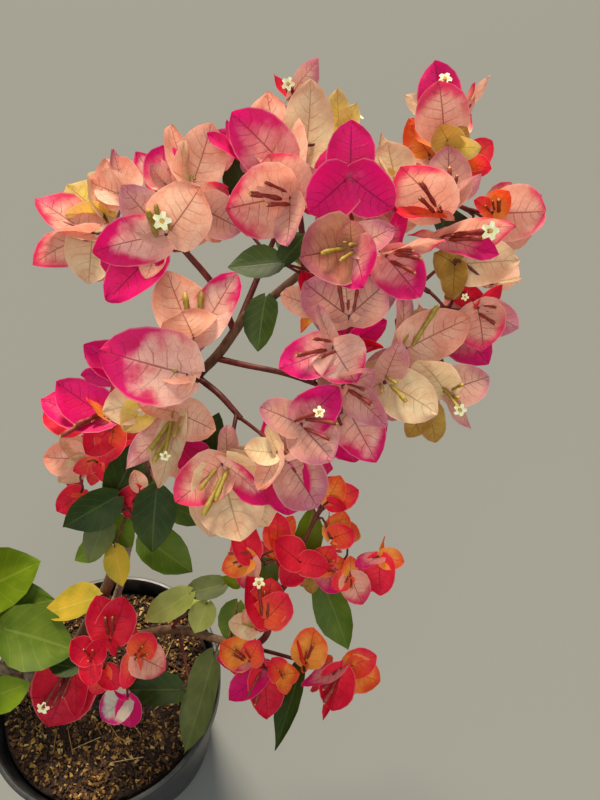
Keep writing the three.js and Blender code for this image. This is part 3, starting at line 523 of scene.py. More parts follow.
# %% Heap of small shapes
class Heap:
    def __init__(self):
        self.corners = []
        self.faces = []
        self.slots = []
        self.blades = []
        self.flushes = []
        self.count = 0

    def add(self, corners, faces, slot, blade=None, flush=0.0):
        """One shape: corners in millimetres, faces by corner number, and its material's number."""
        corners = np.asarray(corners, float)
        self.faces.extend([tuple(self.count + k for k in face) for face in faces])
        self.corners.append(corners)
        self.slots.extend([slot] * len(faces))
        self.count += len(corners)
        if blade is not None:
            self.blades.append(blade)
            self.flushes.extend([flush] * len(corners))

    def mesh(self, name, materials):
        data = bpy.data.meshes.new(name)
        data.from_pydata(np.concatenate(self.corners) * MM, [], self.faces)
        for material in materials:
            data.materials.append(material)
        data.polygons.foreach_set("material_index", self.slots)
        data.polygons.foreach_set("use_smooth", [True] * len(self.faces))
        if self.blades:
            self.write_blades(data)
        data.validate()
        data.update()
        piece = bpy.data.objects.new(name, data)
        bpy.context.scene.collection.objects.link(piece)
        return piece

    def write_blades(self, data):
        corner = np.empty(len(data.loops), int)
        data.loops.foreach_get("vertex_index", corner)
        blade = np.concatenate(self.blades)
        data.uv_layers.new(name="blade").data.foreach_set("uv", blade[corner].ravel())
        across = math.ceil(math.sqrt(len(self.blades)))
        cell = np.repeat(np.arange(len(self.blades)), [len(b) for b in self.blades])
        inside = 0.04 + 0.92 * blade
        atlas = (inside + np.stack([cell % across, cell // across], 1)) / across
        data.uv_layers.new(name="OFBake").data.foreach_set("uv", atlas[corner].ravel())
        flush = data.attributes.new("flush", "FLOAT", "POINT")
        flush.data.foreach_set("value", self.flushes)


# %% [markdown]
# A blade is a small grid of faces. A bract's outline is nearly round, with a heart-shaped foot
# and a small point. A leaf's is broad at the foot and drawn out to its tip. The blade is hollow
# like a spoon, curls along its length, sweeps a little to one side and has a waved margin.

# %% Blades
BRACT_OUTLINE = [(0, 0.18), (0.04, 0.5), (0.12, 0.8), (0.25, 0.97), (0.4, 1.0), (0.55, 0.97),
                 (0.69, 0.86), (0.81, 0.68), (0.9, 0.45), (0.96, 0.23), (1, 0.02)]
LEAF_OUTLINE = [(0, 0.12), (0.05, 0.44), (0.14, 0.76), (0.26, 0.95), (0.4, 1.0), (0.54, 0.96),
                (0.68, 0.82), (0.8, 0.6), (0.91, 0.3), (1, 0.02)]
Shape = namedtuple("Shape", "outline width cup belly lobe wave across along")
BRACT = Shape(BRACT_OUTLINE, 0.93, 0.16, 0.03, 0.16, 0.036, 8, 9)
LEAF = Shape(LEAF_OUTLINE, 0.72, 0.12, 0.02, 0.08, 0.018, 6, 8)
SWEEP = 0.07  # how far a tip may lie to one side, as a share of the length


def blade_grid(shape):
    """The shares across and along of a blade's corners, and its faces."""
    rows = (1 - np.cos(np.linspace(0, math.pi, shape.along + 1))) / 2
    u, v = np.meshgrid(np.linspace(-1, 1, shape.across + 1), rows)
    wide = shape.across + 1
    faces = []
    for j in range(shape.along):
        for i in range(shape.across):
            a = j * wide + i
            faces.append((a, a + 1, a + 1 + wide, a + wide))
    return u.ravel(), v.ravel(), faces


SHAPES = {"bract": BRACT, "leaf": LEAF}
GRIDS = {kind: blade_grid(shape) for kind, shape in SHAPES.items()}


def blade_corners(kind, length, curl, fold, ripple, place, stalk=0.0, wide=1.0):
    """The corners of one blade in place, and their coordinates across and along it."""
    shape = SHAPES[kind]
    u, v, faces = GRIDS[kind]
    half = wide * shape.width * length / 2
    width = np.interp(v, *zip(*shape.outline)) * half
    width = width * (1 + 0.05 * np.sin(5 * v + 2 * ripple + np.sign(u)))
    x = u * width + SWEEP * math.sin(ripple) * length * v ** 2
    y = v * length - shape.lobe * length * u ** 2 * (1 - v) ** 3 + stalk
    z = shape.cup * (u * width) ** 2 / half + curl * length * v ** 2 + fold * np.abs(u * width)
    z = z - shape.belly * length * np.sin(math.pi * v)
    z = z + shape.wave * length * u ** 2 * np.sin(9 * v + ripple + np.sign(u) * 1.3)
    z = z + 0.4 * shape.wave * length * np.sin(6 * u + ripple) * np.sin(7 * v + 2 * ripple)
    flat = np.stack([x, y, z, np.ones_like(x)], 1)
    corners = flat @ np.array(place).T[:, :3]
    return corners, faces, np.stack([(u + 1) / 2, v], 1)


print("faces in a bract:", len(GRIDS["bract"][2]), "in a leaf:", len(GRIDS["leaf"][2]))

# %% [markdown]
# Twigs and flowers are thin tubes. Each ring is square to the way, with as few sides as still
# look round at their size.

# %% Tubes
def across(axis, turn):
    """A direction square to an axis, turned round it by an angle."""
    guide = Vector((0, 0, 1)) if abs(axis.z) < 0.9 else Vector((1, 0, 0))
    first = axis.cross(guide).normalized()
    second = axis.cross(first)
    return (first * math.cos(turn) + second * math.sin(turn)).normalized()


def tube_corners(points, radii, sides):
    """A tube along a few points, closed at its end."""
    points = [Vector(p) for p in points]
    corners = []
    for i, point in enumerate(points):
        ahead = points[min(i + 1, len(points) - 1)] - points[max(i - 1, 0)]
        axis = ahead.normalized()
        for k in range(sides):
            corners.append(point + across(axis, 2 * math.pi * k / sides) * radii[i])
    faces = []
    for i in range(len(points) - 1):
        for k in range(sides):
            a = i * sides + k
            b = i * sides + (k + 1) % sides
            faces.append((a, a + sides, b + sides, b))
    last = len(corners) - sides
    faces.append(tuple(last + k for k in reversed(range(sides))))
    return corners, faces


# %% [markdown]
# ## The rule of growth
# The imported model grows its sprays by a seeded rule, and the same rule is written again here. A
# spray's stem leaves its limb and arches to the spray's heart. Units of three bracts stand
# round the heart along a golden spiral, and each turns and varies by numbers that depend only
# on the spray's seed. A row of the table tells the limb and where along it the stem starts, the
# heart, how far the units reach, their number, the length of a bract, the number of leaves, the
# way that the spray faces and how wide it spreads, its seed, the tones of its bracts, and its
# greens where they aren't the usual ones.

# %% Sprays
COLUMNS = ["on", "at", "heart", "reach", "units", "bract", "leaves", "face", "spread", "seed",
           "tones", "greens"]
USUAL_GREENS = "dark mid"
ROWS = {
    "bracts_left_tip": ("left_fork", 1, (68, 137, 602), 14, 3, 40, 0, (-0.9, -0.1, 0.4), 1.1, 3,
        "cream mauve yellow"),
    "bracts_left_front": ("left_fork", 0.95, (98, 108, 611), 10, 2, 44, 0, (-0.2, -0.8, 0.6), 0.9,
        8, "peach magenta blush"),
    "bracts_left_back": ("left_fork", 0.9, (112, 156, 616), 16, 3, 42, 0, (-0.1, 0.5, 0.85), 1.0, 5,
        "peach flushed peach"),
    "bracts_top_front": ("crown_bough_top", 0.6, (172, 136, 628), 8, 1, 44, 1, (-0.15, -0.85, 0.6),
        0.5, 4, "peach blush mauve"),
    "bracts_top": ("crown_bough_top", 1, (184, 182, 636), 17, 4, 42, 0, (-0.1, 0.1, 1), 1.1, 7,
        "rose peach flushed"),
    "bracts_centre_high": ("main_stem_tip", 1, (214, 122, 626), 13, 3, 46, 1, (0.0, -0.6, 0.9), 1.0,
        2, "magenta rose magenta"),
    "bracts_centre_low": ("crown_bough_right", 0.25, (216, 92, 582), 12, 2, 42, 0, (0.1, -1, 0.2),
        1.0, 6, "mauve peach mauve"),
    "bracts_right_top": ("crown_bough_outer", 1, (274, 170, 638), 14, 4, 42, 0, (0.3, 0.1, 1), 1.1,
        9, "flushed rose blush"),
    "bracts_right_middle": ("crown_bough_outer", 0.8, (258, 140, 626), 11, 2, 42, 0,
        (0.0, -0.8, 0.6), 1.0, 1, "blush rose peach"),
    "bracts_right_tip": ("crown_bough_outer", 0.9, (298, 148, 610), 10, 2, 42, 0, (1, 0.0, 0.3),
        1.0, 12, "scarlet orange blush"),
    "bracts_right_outer": ("crown_bough_right", 0.9, (280, 112, 602), 13, 3, 42, 0,
        (0.7, -0.6, 0.3), 1.1, 11, "blush peach rose"),
    "bracts_right_low": ("crown_bough_right", 1, (278, 94, 574), 13, 3, 42, 0, (0.6, -0.7, -0.1),
        1.1, 13, "mauve blush peach"),
    "bracts_low_right": ("crown_bough_right", 0.75, (258, 62, 552), 15, 3, 44, 0, (0.5, -0.8, -0.3),
        1.1, 14, "cream peach mauve"),
    "bracts_fork_high": ("right_fork", 0.9, (200, 58, 562), 9, 2, 42, 0, (0.1, -0.9, 0.3), 1.0, 15,
        "mauve blush rose"),
    "bracts_fork_tip": ("right_fork", 1, (212, 36, 534), 13, 2, 42, 0, (0.4, -0.9, -0.2), 1.0, 16,
        "mauve rose flushed"),
    "bracts_fork_hanging": ("low_fork", 1, (182, 24, 512), 14, 2, 44, 0, (0.1, -0.8, -0.5), 1.0, 17,
        "mauve blush flushed"),
    "bracts_low_left": ("low_fork", 0.9, (140, 26, 494), 13, 3, 43, 0, (0.0, -0.9, 0.0), 1.1, 18,
        "cream mauve flushed"),
    "bracts_stem_cup": ("main_stem_high", 0.02, (118, 95, 552), 6, 1, 44, 0, (0.0, -0.2, 1), 0.3,
        19, "peach mauve peach"),
    "bracts_stem_left": ("main_stem_middle", 0.97, (82, 84, 540), 10, 2, 46, 0, (-0.9, -0.4, 0.3),
        0.9, 20, "flushed cream flushed"),
    "bracts_stem_hanging": ("main_stem_middle", 0.8, (100, 52, 508), 9, 2, 42, 0, (0.1, -0.9, -0.3),
        0.8, 21, "peach mauve peach"),
    "bracts_red_left": ("second_stem", 1, (34, 94, 468), 16, 4, 36, 0, (-0.7, -0.5, 0.4), 1.2, 40,
        "crimson magenta scarlet"),
    "bracts_red_left_low": ("second_stem", 0.95, (14, 88, 424), 15, 3, 28, 1, (-0.8, -0.4, 0.0),
        1.2, 23, "crimson scarlet crimson"),
    "leaves_stem": ("main_stem_middle", 0.25, (56, 54, 412), 22, 0, 40, 8, (-0.2, -0.9, 0.3), 1.3,
        24, "", "dark dark mid"),
    "leaves_stem_back": ("main_stem_middle", 0.4, (74, 112, 420), 22, 0, 40, 6, (0.2, 0.9, 0.3),
        1.3, 25, ""),
    "leaves_left": ("left_bough", 1, (-118, 34, 296), 26, 1, 30, 9, (-0.4, -0.2, 0.8), 1.5, 26,
        "crimson", "bright mid bright turning"),
    "leaves_pot_left": ("left_bough", 0.55, (-62, 30, 252), 22, 0, 30, 7, (0.2, 0.4, 0.7), 1.5, 27,
        "", "mid pale turning"),
    "leaves_pot_right": ("right_bough", 0.55, (80, 34, 262), 20, 0, 30, 6, (0.2, 0.2, 0.8), 1.4, 28,
        "", "pale pale mid"),
    "leaves_pot_front": ("right_bough", 0.6, (86, -10, 228), 24, 0, 30, 5, (0.1, -0.8, 0.1), 1.3,
        29, "", "pale mid dark"),
    "bracts_red_pot": ("right_bough", 0.3, (24, 4, 276), 16, 4, 34, 1, (0.0, -0.6, 0.7), 1.2, 30,
        "crimson magenta scarlet"),
    "bracts_red_front": ("trunk", 0.8, (-26, -26, 234), 10, 1, 44, 1, (-0.2, -0.7, 0.5), 0.5, 31,
        "crimson magenta crimson"),
    "bracts_orange_rise": ("right_bough_rise", 0.75, (150, 34, 366), 18, 4, 30, 2,
        (-0.3, -0.5, 0.5), 1.4, 32, "crimson scarlet orange"),
    "bracts_orange_right": ("right_bough_rise", 1, (222, 28, 368), 22, 5, 28, 2, (0.8, -0.4, 0.2),
        1.4, 33, "scarlet orange crimson"),
    "bracts_orange_top": ("right_bough_rise", 0.8, (202, 58, 404), 16, 3, 24, 2, (0.6, 0.0, 0.6),
        1.2, 34, "orange scarlet"),
    "bracts_orange_low": ("right_bough", 0.97, (140, -14, 282), 17, 4, 30, 1, (-0.2, -0.7, 0.2),
        1.4, 35, "orange crimson scarlet"),
    "bracts_orange_tip": ("right_bough_rise", 0.05, (206, -20, 284), 24, 5, 30, 2, (0.7, -0.6, 0.2),
        1.4, 36, "scarlet orange crimson"),
    "bracts_back_left": ("crown_bough_back", 0.7, (124, 206, 588), 18, 4, 42, 1, (-0.5, 0.8, 0.3),
        1.2, 37, "peach blush rose"),
    "bracts_back_right": ("crown_bough_back", 1, (218, 214, 592), 20, 5, 42, 1, (0.4, 0.9, 0.3),
        1.2, 38, "rose peach flushed"),
    "bracts_back_low": ("crown_bough_back", 0.95, (206, 168, 530), 18, 4, 42, 2, (0.3, 0.6, -0.5),
        1.2, 39, "mauve peach blush"),
}
SPRAYS = {}
for name, row in ROWS.items():
    spray = dict(zip(COLUMNS, row))
    spray["tones"] = spray["tones"].split()
    spray["greens"] = spray.get("greens", USUAL_GREENS).split()
    SPRAYS[name] = spray
print("sprays:", len(SPRAYS))

# %% [markdown]
# Where the photograph shows a unit clearly, it is set there. A unit has the pixel of its foot and
# how much nearer than its spray's heart it is, in millimetres. Each bract has the pixel of its
# tip, how much nearer than the foot the tip is, how far the blade is rolled about its midrib
# (at 0 the inner side faces the camera, at 180 the outer side does), its tone, and its width
# where that is not the usual one. Where the flowers show, aim is the pixel that they point to and
# how much nearer it is. An open flower has the pixel of its star. Where none shows, the flowers
# stand behind the bracts.

# %% Units where the photograph shows them
Unit = namedtuple("Unit", "u v near bracts aim star", defaults=[None, None])

SEEN = {
    "bracts_left_front": [
        Unit(166, 235, 8, [(206, 187, 22, 0, "peach", 0.95), (120, 187, 16, 0, "mauve", 0.8),
            (91, 246, 10, -6, "flushed", 0.74)], (166, 202, 20), (162, 221, 30)),
        Unit(158, 248, -6, [(104, 299, 0, 25, "magenta", 0.8), (146, 278, 4, 30, "peach", 0.9),
            (98, 262, -6, 0, "rose")])],
    "bracts_left_tip": [
        Unit(93, 233, 0, [(33, 198, 4, 40, "blush", 0.8), (30, 261, 2, -40, "blush", 0.8),
            (86, 284, 2, 10, "cream")], (40, 226, 4)),
        Unit(104, 215, -2, [(64, 186, -6, 15, "yellow"), (65, 213, 8, -15, "yellow", 0.8),
            (94, 175, -8, 60, "cream")]),
        Unit(127, 197, -12, [(88, 183, -4, 0, "peach", 0.9), (112, 146, -6, 50, "mauve", 0.55),
            (106, 163, -12, 0, "peach")])],
    "bracts_left_back": [
        Unit(168, 187, -14, [(160, 146, -2, 0, "rose", 1.1), (134, 155, 2, 30, "flushed", 0.8),
            (148, 166, 10, 20, "mauve", 0.8)]),
        Unit(191, 188, -16, [(216, 125, 2, 0, "peach", 0.85), (183, 141, 8, 55, "cream", 0.5),
            (172, 121, -8, 40, "peach", 0.6)]),
        Unit(200, 208, -20, [(243, 228, -2, 0, "mauve"), (226, 186, -6, 20, "blush"),
            (222, 241, -6, -20, "peach")])],
    "bracts_top_front": [
        Unit(290, 198, 12, [(270, 153, 10, 15, "blush", 1.35), (223, 205, 12, -6, "blush", 1.1),
            (288, 248, 10, 35, "mauve", 0.75)], (256, 190, 14))],
    "bracts_top": [
        Unit(284, 166, 2, [(235, 110, 6, 0, "rose", 0.85), (264, 96, -22, 10, "peach", 0.66),
            (296, 138, -24, 30, "peach", 0.8)]),
        Unit(304, 164, 0, [(316, 81, 6, -4, "cream", 0.72), (330, 130, -24, 20, "peach", 0.7),
            (300, 120, -24, 0, "peach", 0.6)]),
        Unit(290, 99, -24, [(318, 56, 0, 45, "mauve", 0.7), (272, 76, 0, 50, "crimson", 0.5),
            (306, 86, 4, -60, "magenta", 0.5)], (289, 76, 6), (288, 84, 12)),
        Unit(340, 142, -20, [(337, 90, 0, 10, "yellow", 0.6), (355, 104, 2, -10, "yellow", 0.6),
            (333, 122, -4, 30, "yellow", 0.8)]),
        Unit(250, 158, -10, [(208, 134, 2, 45, "magenta", 0.55), (224, 122, -4, 50, "rose", 0.7),
            (243, 172, -4, 30, "mauve")])],
    "bracts_centre_high": [
        Unit(350, 176, 22, [(353, 120, 4, 176, "magenta", 1.05), (390, 212, 2, 8, "magenta", 1.1),
            (311, 214, 3, -8, "magenta", 1.1)]),
        Unit(352, 247, 18, [(350, 220, 8, 20, "tan", 1.2), (297, 257, 14, 8, "tan", 1.15),
            (366, 286, 12, 25, "rose", 1.1), (394, 226, 8, -30, "mauve", 0.9)], (330, 252, 16)),
        Unit(386, 256, 12, [(421, 298, 6, 0, "rose", 0.95), (445, 240, 6, 65, "blush", 0.6),
            (402, 212, -8, 45, "rose", 0.6)], (412, 264, 14))],
    "bracts_centre_low": [
        Unit(349, 316, 6, [(303, 284, 10, 165, "mauve", 1.2), (383, 284, 8, 190, "mauve", 1.2),
            (342, 266, 12, 180, "peach", 0.9)], (350, 280, 8)),
        Unit(350, 344, 0, [(388, 322, -4, 30, "magenta", 0.7), (384, 346, -4, 50, "crimson", 0.6),
            (330, 318, -6, 0, "magenta")]),
        Unit(314, 306, -6, [(280, 296, 0, 0, "peach", 0.9), (303, 271, 0, 35, "crimson", 0.7),
            (304, 334, 2, 55, "orange", 0.7)])],
    "bracts_right_top": [
        Unit(444, 136, 10, [(442, 80, 12, 0, "blush", 1.12), (412, 122, -16, 0, "orange", 0.7),
            (468, 114, -8, 0, "blush", 0.8)]),
        Unit(442, 116, -12, [(438, 61, 0, 0, "magenta", 0.85), (404, 98, -6, 30, "cream", 0.6),
            (456, 84, -8, 30, "magenta", 0.6)], (452, 74, 2), (445, 79, 8)),
        Unit(451, 148, 10, [(482, 147, 10, 25, "yellow", 0.85), (440, 124, 10, 0, "olive", 1.2),
            (468, 128, 6, 10, "olive", 1.1)]),
        Unit(465, 114, -12, [(475, 82, 2, 50, "blush", 0.5), (490, 75, 0, 60, "peach", 0.4),
            (460, 92, -8, 20, "crimson", 0.3)]),
        Unit(434, 162, -4, [(407, 120, 2, 10, "orange", 0.85), (405, 148, 0, 30, "peach", 0.7),
            (425, 130, -12, 0, "blush")]),
        Unit(466, 164, -10, [(493, 143, 0, 0, "scarlet", 0.9), (492, 168, 4, 20, "scarlet"),
            (480, 178, -4, 30, "orange", 0.8)])],
    "bracts_right_middle": [
        Unit(440, 212, 14, [(404, 162, 14, -14, "blush", 1.05), (393, 214, 14, 62, "scarlet", 0.6),
            (458, 217, 16, 60, "blush", 0.6)], (428, 192, 18)),
        Unit(448, 204, 4, [(451, 148, 0, 0, "mauve", 0.85), (482, 173, 8, 45, "mauve", 0.65),
            (430, 170, -4, 20, "rose")], (449, 178, 8)),
        Unit(395, 184, 0, [(390, 142, 0, 0, "cream", 1.1), (377, 133, -8, 55, "cream", 0.5),
            (376, 172, 0, 20, "yellow")])],
    "bracts_right_tip": [
        Unit(492, 213, 6, [(546, 213, 2, 0, "blush", 1.05), (474, 199, 6, 30, "scarlet", 0.9),
            (509, 190, 12, -10, "orange", 1.1)], (484, 200, 16)),
        Unit(500, 230, -12, [(538, 194, -4, 10, "blush"), (508, 182, -8, 20, "blush"),
            (530, 238, -6, 10, "peach")])],
    "bracts_right_outer": [
        Unit(442, 238, 12, [(514, 219, 6, 40, "blush", 0.66), (500, 252, 8, -40, "rose", 0.6),
            (408, 234, 0, 65, "blush", 0.5)], (478, 234, 14), (490, 231, 22)),
        Unit(455, 264, 6, [(519, 261, 0, 0, "cream", 0.75), (434, 250, 14, 0, "olive", 1.2),
            (452, 301, 4, 10, "olive", 0.8)]),
        Unit(492, 284, -8, [(522, 281, 0, 60, "cream", 0.5), (502, 244, -6, 20, "peach"),
            (478, 268, -4, 20, "mauve")])],
    "bracts_right_low": [
        Unit(478, 308, 6, [(520, 326, 2, 10, "mauve", 0.9), (486, 351, 8, 0, "blush", 1.1),
            (503, 284, 2, 40, "crimson", 0.6)], (492, 314, 6)),
        Unit(404, 350, 6, [(470, 316, 4, 6, "peach", 0.78), (408, 289, -4, 40, "mauve", 0.5),
            (394, 334, 2, 50, "peach", 0.7)], (424, 308, 4)),
        Unit(448, 322, -6, [(491, 362, 0, 10, "rose", 0.8), (440, 358, 0, 0, "mauve"),
            (470, 302, -4, 0, "mauve")]),
        Unit(458, 292, 2, [(484, 306, 6, 0, "crimson", 0.9), (446, 302, 8, 20, "olive", 0.6),
            (464, 272, -4, 20, "scarlet")], (476, 288, 8), (465, 297, 14))],
    "bracts_low_right": [
        Unit(384, 382, 16, [(440, 411, 12, 0, "cream", 0.9), (398, 342, 12, 15, "mauve", 0.8),
            (356, 396, 8, -15, "mauve", 0.7)], (394, 396, 16)),
        Unit(446, 392, 8, [(420, 355, 14, -20, "cream", 0.95), (488, 375, 4, 0, "mauve", 1.05),
            (472, 429, 6, 50, "mauve", 0.5)], (454, 388, 14), (460, 410, 14)),
        Unit(428, 406, -4, [(408, 438, 0, 10, "olive", 0.8), (438, 442, 0, -10, "olive", 0.8),
            (424, 396, 0, 0, "yellow")])],
    "bracts_fork_high": [
        Unit(333, 347, 12, [(279, 371, 8, 15, "rose", 0.85), (354, 382, 12, 0, "flushed", 1.35),
            (318, 304, 6, 40, "mauve", 0.5)], (306, 350, 12)),
        Unit(343, 385, 8, [(388, 426, 6, 25, "mauve", 0.6), (376, 374, 10, 30, "mauve", 0.9),
            (330, 400, 0, 20, "peach")], (376, 404, 10))],
    "bracts_fork_tip": [
        Unit(300, 424, 16, [(261, 404, 10, 25, "mauve", 0.9), (341, 388, 8, 8, "rose", 0.9),
            (334, 459, 8, 0, "mauve", 1.05)], (336, 436, 10), (319, 412, 22)),
        Unit(341, 396, -4, [(376, 462, 2, 0, "flushed", 0.75), (352, 464, -6, -15, "magenta"),
            (386, 436, -6, 30, "magenta", 0.8)])],
    "bracts_fork_hanging": [
        Unit(288, 462, 8, [(321, 506, -2, 0, "mauve", 1.15), (284, 513, -12, 0, "magenta"),
            (334, 468, -4, 30, "flushed", 0.8)]),
        Unit(277, 452, 4, [(244, 452, 2, 20, "cream", 0.95), (260, 490, 0, 30, "peach", 0.8),
            (268, 424, -2, 45, "cream", 0.7)])],
    "bracts_low_left": [
        Unit(222, 464, 14, [(236, 541, 2, 0, "cream", 1.05), (177, 504, 12, 0, "blush", 0.9),
            (272, 500, 14, 45, "flushed", 0.6)], (202, 492, 14)),
        Unit(228, 462, 4, [(226, 424, 4, 40, "mauve", 0.8), (206, 536, -6, 0, "cream", 0.8),
            (266, 528, -6, 0, "cream", 0.8)]),
        Unit(206, 455, -8, [(178, 468, 0, 20, "magenta"), (184, 444, 0, -20, "magenta"),
            (205, 480, -4, 20, "rose")])],
    "bracts_stem_cup": [
        Unit(194, 338, 0, [(184, 312, 24, 178, "peach", 1.3), (164, 275, -8, 10, "peach", 0.8),
            (236, 275, -4, -30, "flushed", 0.75)], (189, 276, 2))],
    "bracts_stem_left": [
        Unit(189, 375, 20, [(99, 350, 6, 4, "flushed", 0.98), (140, 398, -18, 20, "peach", 0.7),
            (150, 340, -16, 10, "blush", 0.8)]),
        Unit(142, 372, -4, [(84, 350, -2, 20, "magenta", 0.8), (82, 378, 0, -40, "rose", 0.6),
            (112, 394, -2, 30, "blush", 0.8)]),
        Unit(150, 399, 0, [(104, 414, 0, 0, "cream", 0.9), (124, 430, -2, 10, "yellow", 0.9),
            (118, 388, -4, 0, "cream")])],
    "bracts_stem_hanging": [
        Unit(178, 413, 12, [(138, 400, 12, 35, "peach", 0.8), (215, 430, 12, 15, "peach"),
            (127, 471, 4, 35, "mauve", 0.5), (163, 489, 8, 25, "cream", 0.48)], (154, 448, 14),
            (165, 456, 18))],
    "bracts_red_left": [
        Unit(108, 419, 6, [(57, 383, 2, 0, "magenta", 0.8), (40, 405, -4, 25, "magenta", 0.7),
            (85, 399, 10, 60, "orange", 0.5)], (92, 430, 10)),
        Unit(114, 426, 2, [(143, 436, 0, 25, "scarlet", 0.8), (84, 452, 6, 0, "crimson"),
            (108, 462, 6, 20, "scarlet", 0.9)])],
    "bracts_red_left_low": [
        Unit(84, 460, -4, [(45, 456, 0, 0, "peach"), (62, 434, 0, 25, "cream", 0.8),
            (58, 482, 0, -15, "cream", 0.8)]),
        Unit(98, 462, 0, [(72, 470, 2, 0, "scarlet", 0.7), (114, 480, 2, 20, "crimson"),
            (92, 486, 0, 10, "scarlet", 0.7)]),
        Unit(82, 492, -4, [(57, 511, 0, 0, "crimson"), (72, 519, 0, 20, "crimson"),
            (64, 490, 0, 20, "scarlet", 0.8)])],
    "leaves_stem": [
        Unit(140, 490, -3, [(116, 504, 0, 0, "crimson", 0.8), (125, 518, 0, 20, "crimson", 0.8),
            (134, 470, 0, 20, "peach")])],
    "bracts_orange_rise": [
        Unit(252, 558, 8, [(236, 522, 8, 20, "crimson", 0.9), (221, 569, 2, 0, "orange", 0.9),
            (242, 587, 0, 10, "blush", 0.9)], (234, 562, 8)),
        Unit(277, 546, 0, [(279, 511, 6, 0, "scarlet", 0.8), (266, 506, 0, 55, "scarlet", 0.7),
            (293, 516, -6, 20, "orange", 0.8)]),
        Unit(301, 562, 10, [(273, 542, 6, 25, "crimson"), (283, 586, 4, 0, "crimson"),
            (329, 570, 8, 0, "crimson")]),
        Unit(264, 621, 8, [(246, 578, 4, 35, "crimson", 0.8), (290, 598, 10, 15, "scarlet"),
            (272, 578, -4, 0, "scarlet")], (262, 588, 2), (259, 583, 12)),
        Unit(272, 560, -4, [(241, 530, 6, 60, "rose", 0.6), (250, 572, 0, 10, "orange"),
            (270, 540, -4, 10, "scarlet")])],
    "bracts_orange_right": [
        Unit(319, 568, 4, [(330, 544, 8, 0, "scarlet"), (346, 562, 0, 0, "orange", 0.9),
            (342, 590, 4, 0, "rose", 0.9)], (332, 566, 8)),
        Unit(350, 575, 6, [(362, 605, 4, 0, "blush", 1.1), (334, 590, 6, 0, "scarlet"),
            (352, 556, 2, 20, "orange", 0.9)], (348, 582, 12)),
        Unit(380, 557, 8, [(378, 595, 2, 0, "crimson", 0.95), (354, 567, 10, 50, "rose", 0.8),
            (404, 562, -2, 0, "orange", 0.9), (383, 536, -6, 60, "orange", 0.4)]),
        Unit(310, 577, -6, [(311, 594, 4, 0, "olive"), (300, 586, 2, 10, "olive"),
            (320, 584, 2, 10, "olive")])],
    "bracts_orange_top": [
        Unit(327, 502, 0, [(341, 475, 4, 10, "orange", 0.9), (358, 488, 6, 0, "scarlet", 0.9),
            (347, 508, 6, 20, "crimson", 0.8)]),
        Unit(332, 539, 0, [(344, 511, -4, 0, "orange", 0.9), (354, 528, 8, 10, "scarlet", 1.1),
            (326, 513, -4, 60, "orange", 0.3)])],
    "bracts_orange_low": [
        Unit(257, 629, 0, [(229, 620, 0, 0, "cream"), (242, 610, -2, 25, "peach", 0.8),
            (272, 622, 0, 30, "crimson", 0.8)], (250, 626, 8)),
        Unit(249, 661, 8, [(221, 640, 8, 0, "orange"), (260, 641, 6, 0, "scarlet"),
            (216, 662, 6, 25, "rose", 0.7)], (236, 650, 10)),
        Unit(265, 668, 10, [(230, 702, 6, 25, "magenta", 0.8), (267, 717, 4, 0, "crimson", 0.8),
            (280, 690, -6, 20, "crimson")], (251, 700, 10)),
        Unit(282, 675, 14, [(270, 660, 10, 0, "scarlet"), (300, 671, 10, 0, "orange"),
            (288, 694, 10, 0, "orange")], (280, 672, 22))],
    "bracts_orange_tip": [
        Unit(306, 663, 4, [(317, 628, 6, 0, "orange", 1.05), (296, 641, 4, 50, "scarlet", 0.6),
            (303, 674, 4, 45, "orange")], (312, 650, 12)),
        Unit(342, 668, 8, [(302, 687, 8, 45, "rose", 0.6), (330, 710, 4, 0, "crimson", 0.9),
            (320, 718, 4, 60, "crimson", 0.3)], (330, 690, 10)),
        Unit(347, 668, 2, [(376, 654, 2, 0, "scarlet", 0.9), (379, 684, 6, 0, "orange", 1.1),
            (352, 649, -4, 10, "orange", 0.9)])],
    "bracts_red_pot": [
        Unit(110, 640, 2, [(96, 597, 6, 0, "crimson", 0.85), (128, 598, 4, 0, "crimson", 0.85),
            (116, 656, 6, 20, "crimson", 0.6)], (108, 624, 12)),
        Unit(92, 658, 4, [(70, 641, 8, 0, "crimson"), (105, 642, 8, 0, "crimson", 0.9),
            (88, 686, 8, 0, "crimson")], (88, 652, 14)),
        Unit(136, 655, 4, [(152, 631, 8, 0, "scarlet", 0.9), (166, 670, 6, 0, "blush", 1.1),
            (125, 688, 4, 30, "scarlet", 0.8)], (140, 650, 14)),
        Unit(104, 668, -2, [(96, 696, 4, 0, "scarlet", 0.9), (117, 690, 4, 0, "crimson"),
            (86, 678, 0, 20, "crimson")]),
        Unit(128, 697, -4, [(101, 716, 2, 0, "white", 1.1), (134, 727, 0, 20, "magenta"),
            (114, 688, 0, 20, "magenta", 0.8)])],
    "bracts_red_front": [
        Unit(74, 662, -18, [(30, 697, 12, -20, "crimson", 0.8), (50, 728, 10, 0, "crimson", 1.05),
            (78, 716, 12, 25, "crimson", 0.6)], (52, 702, 14), (43, 708, 20))],
}
print("units set by the photograph:", sum(len(rows) for rows in SEEN.values()))

# %% [markdown]
# The leaves that the photograph shows are set in the same way: the pixels of foot and tip, how
# much nearer than the spray's heart each is, how far the blade is rolled about its midrib, its
# green, and its width where that is not the usual one.

# %% Leaves where the photograph shows them
Leaf = namedtuple("Leaf", "foot tip near tip_near roll green wide", defaults=[1.0])

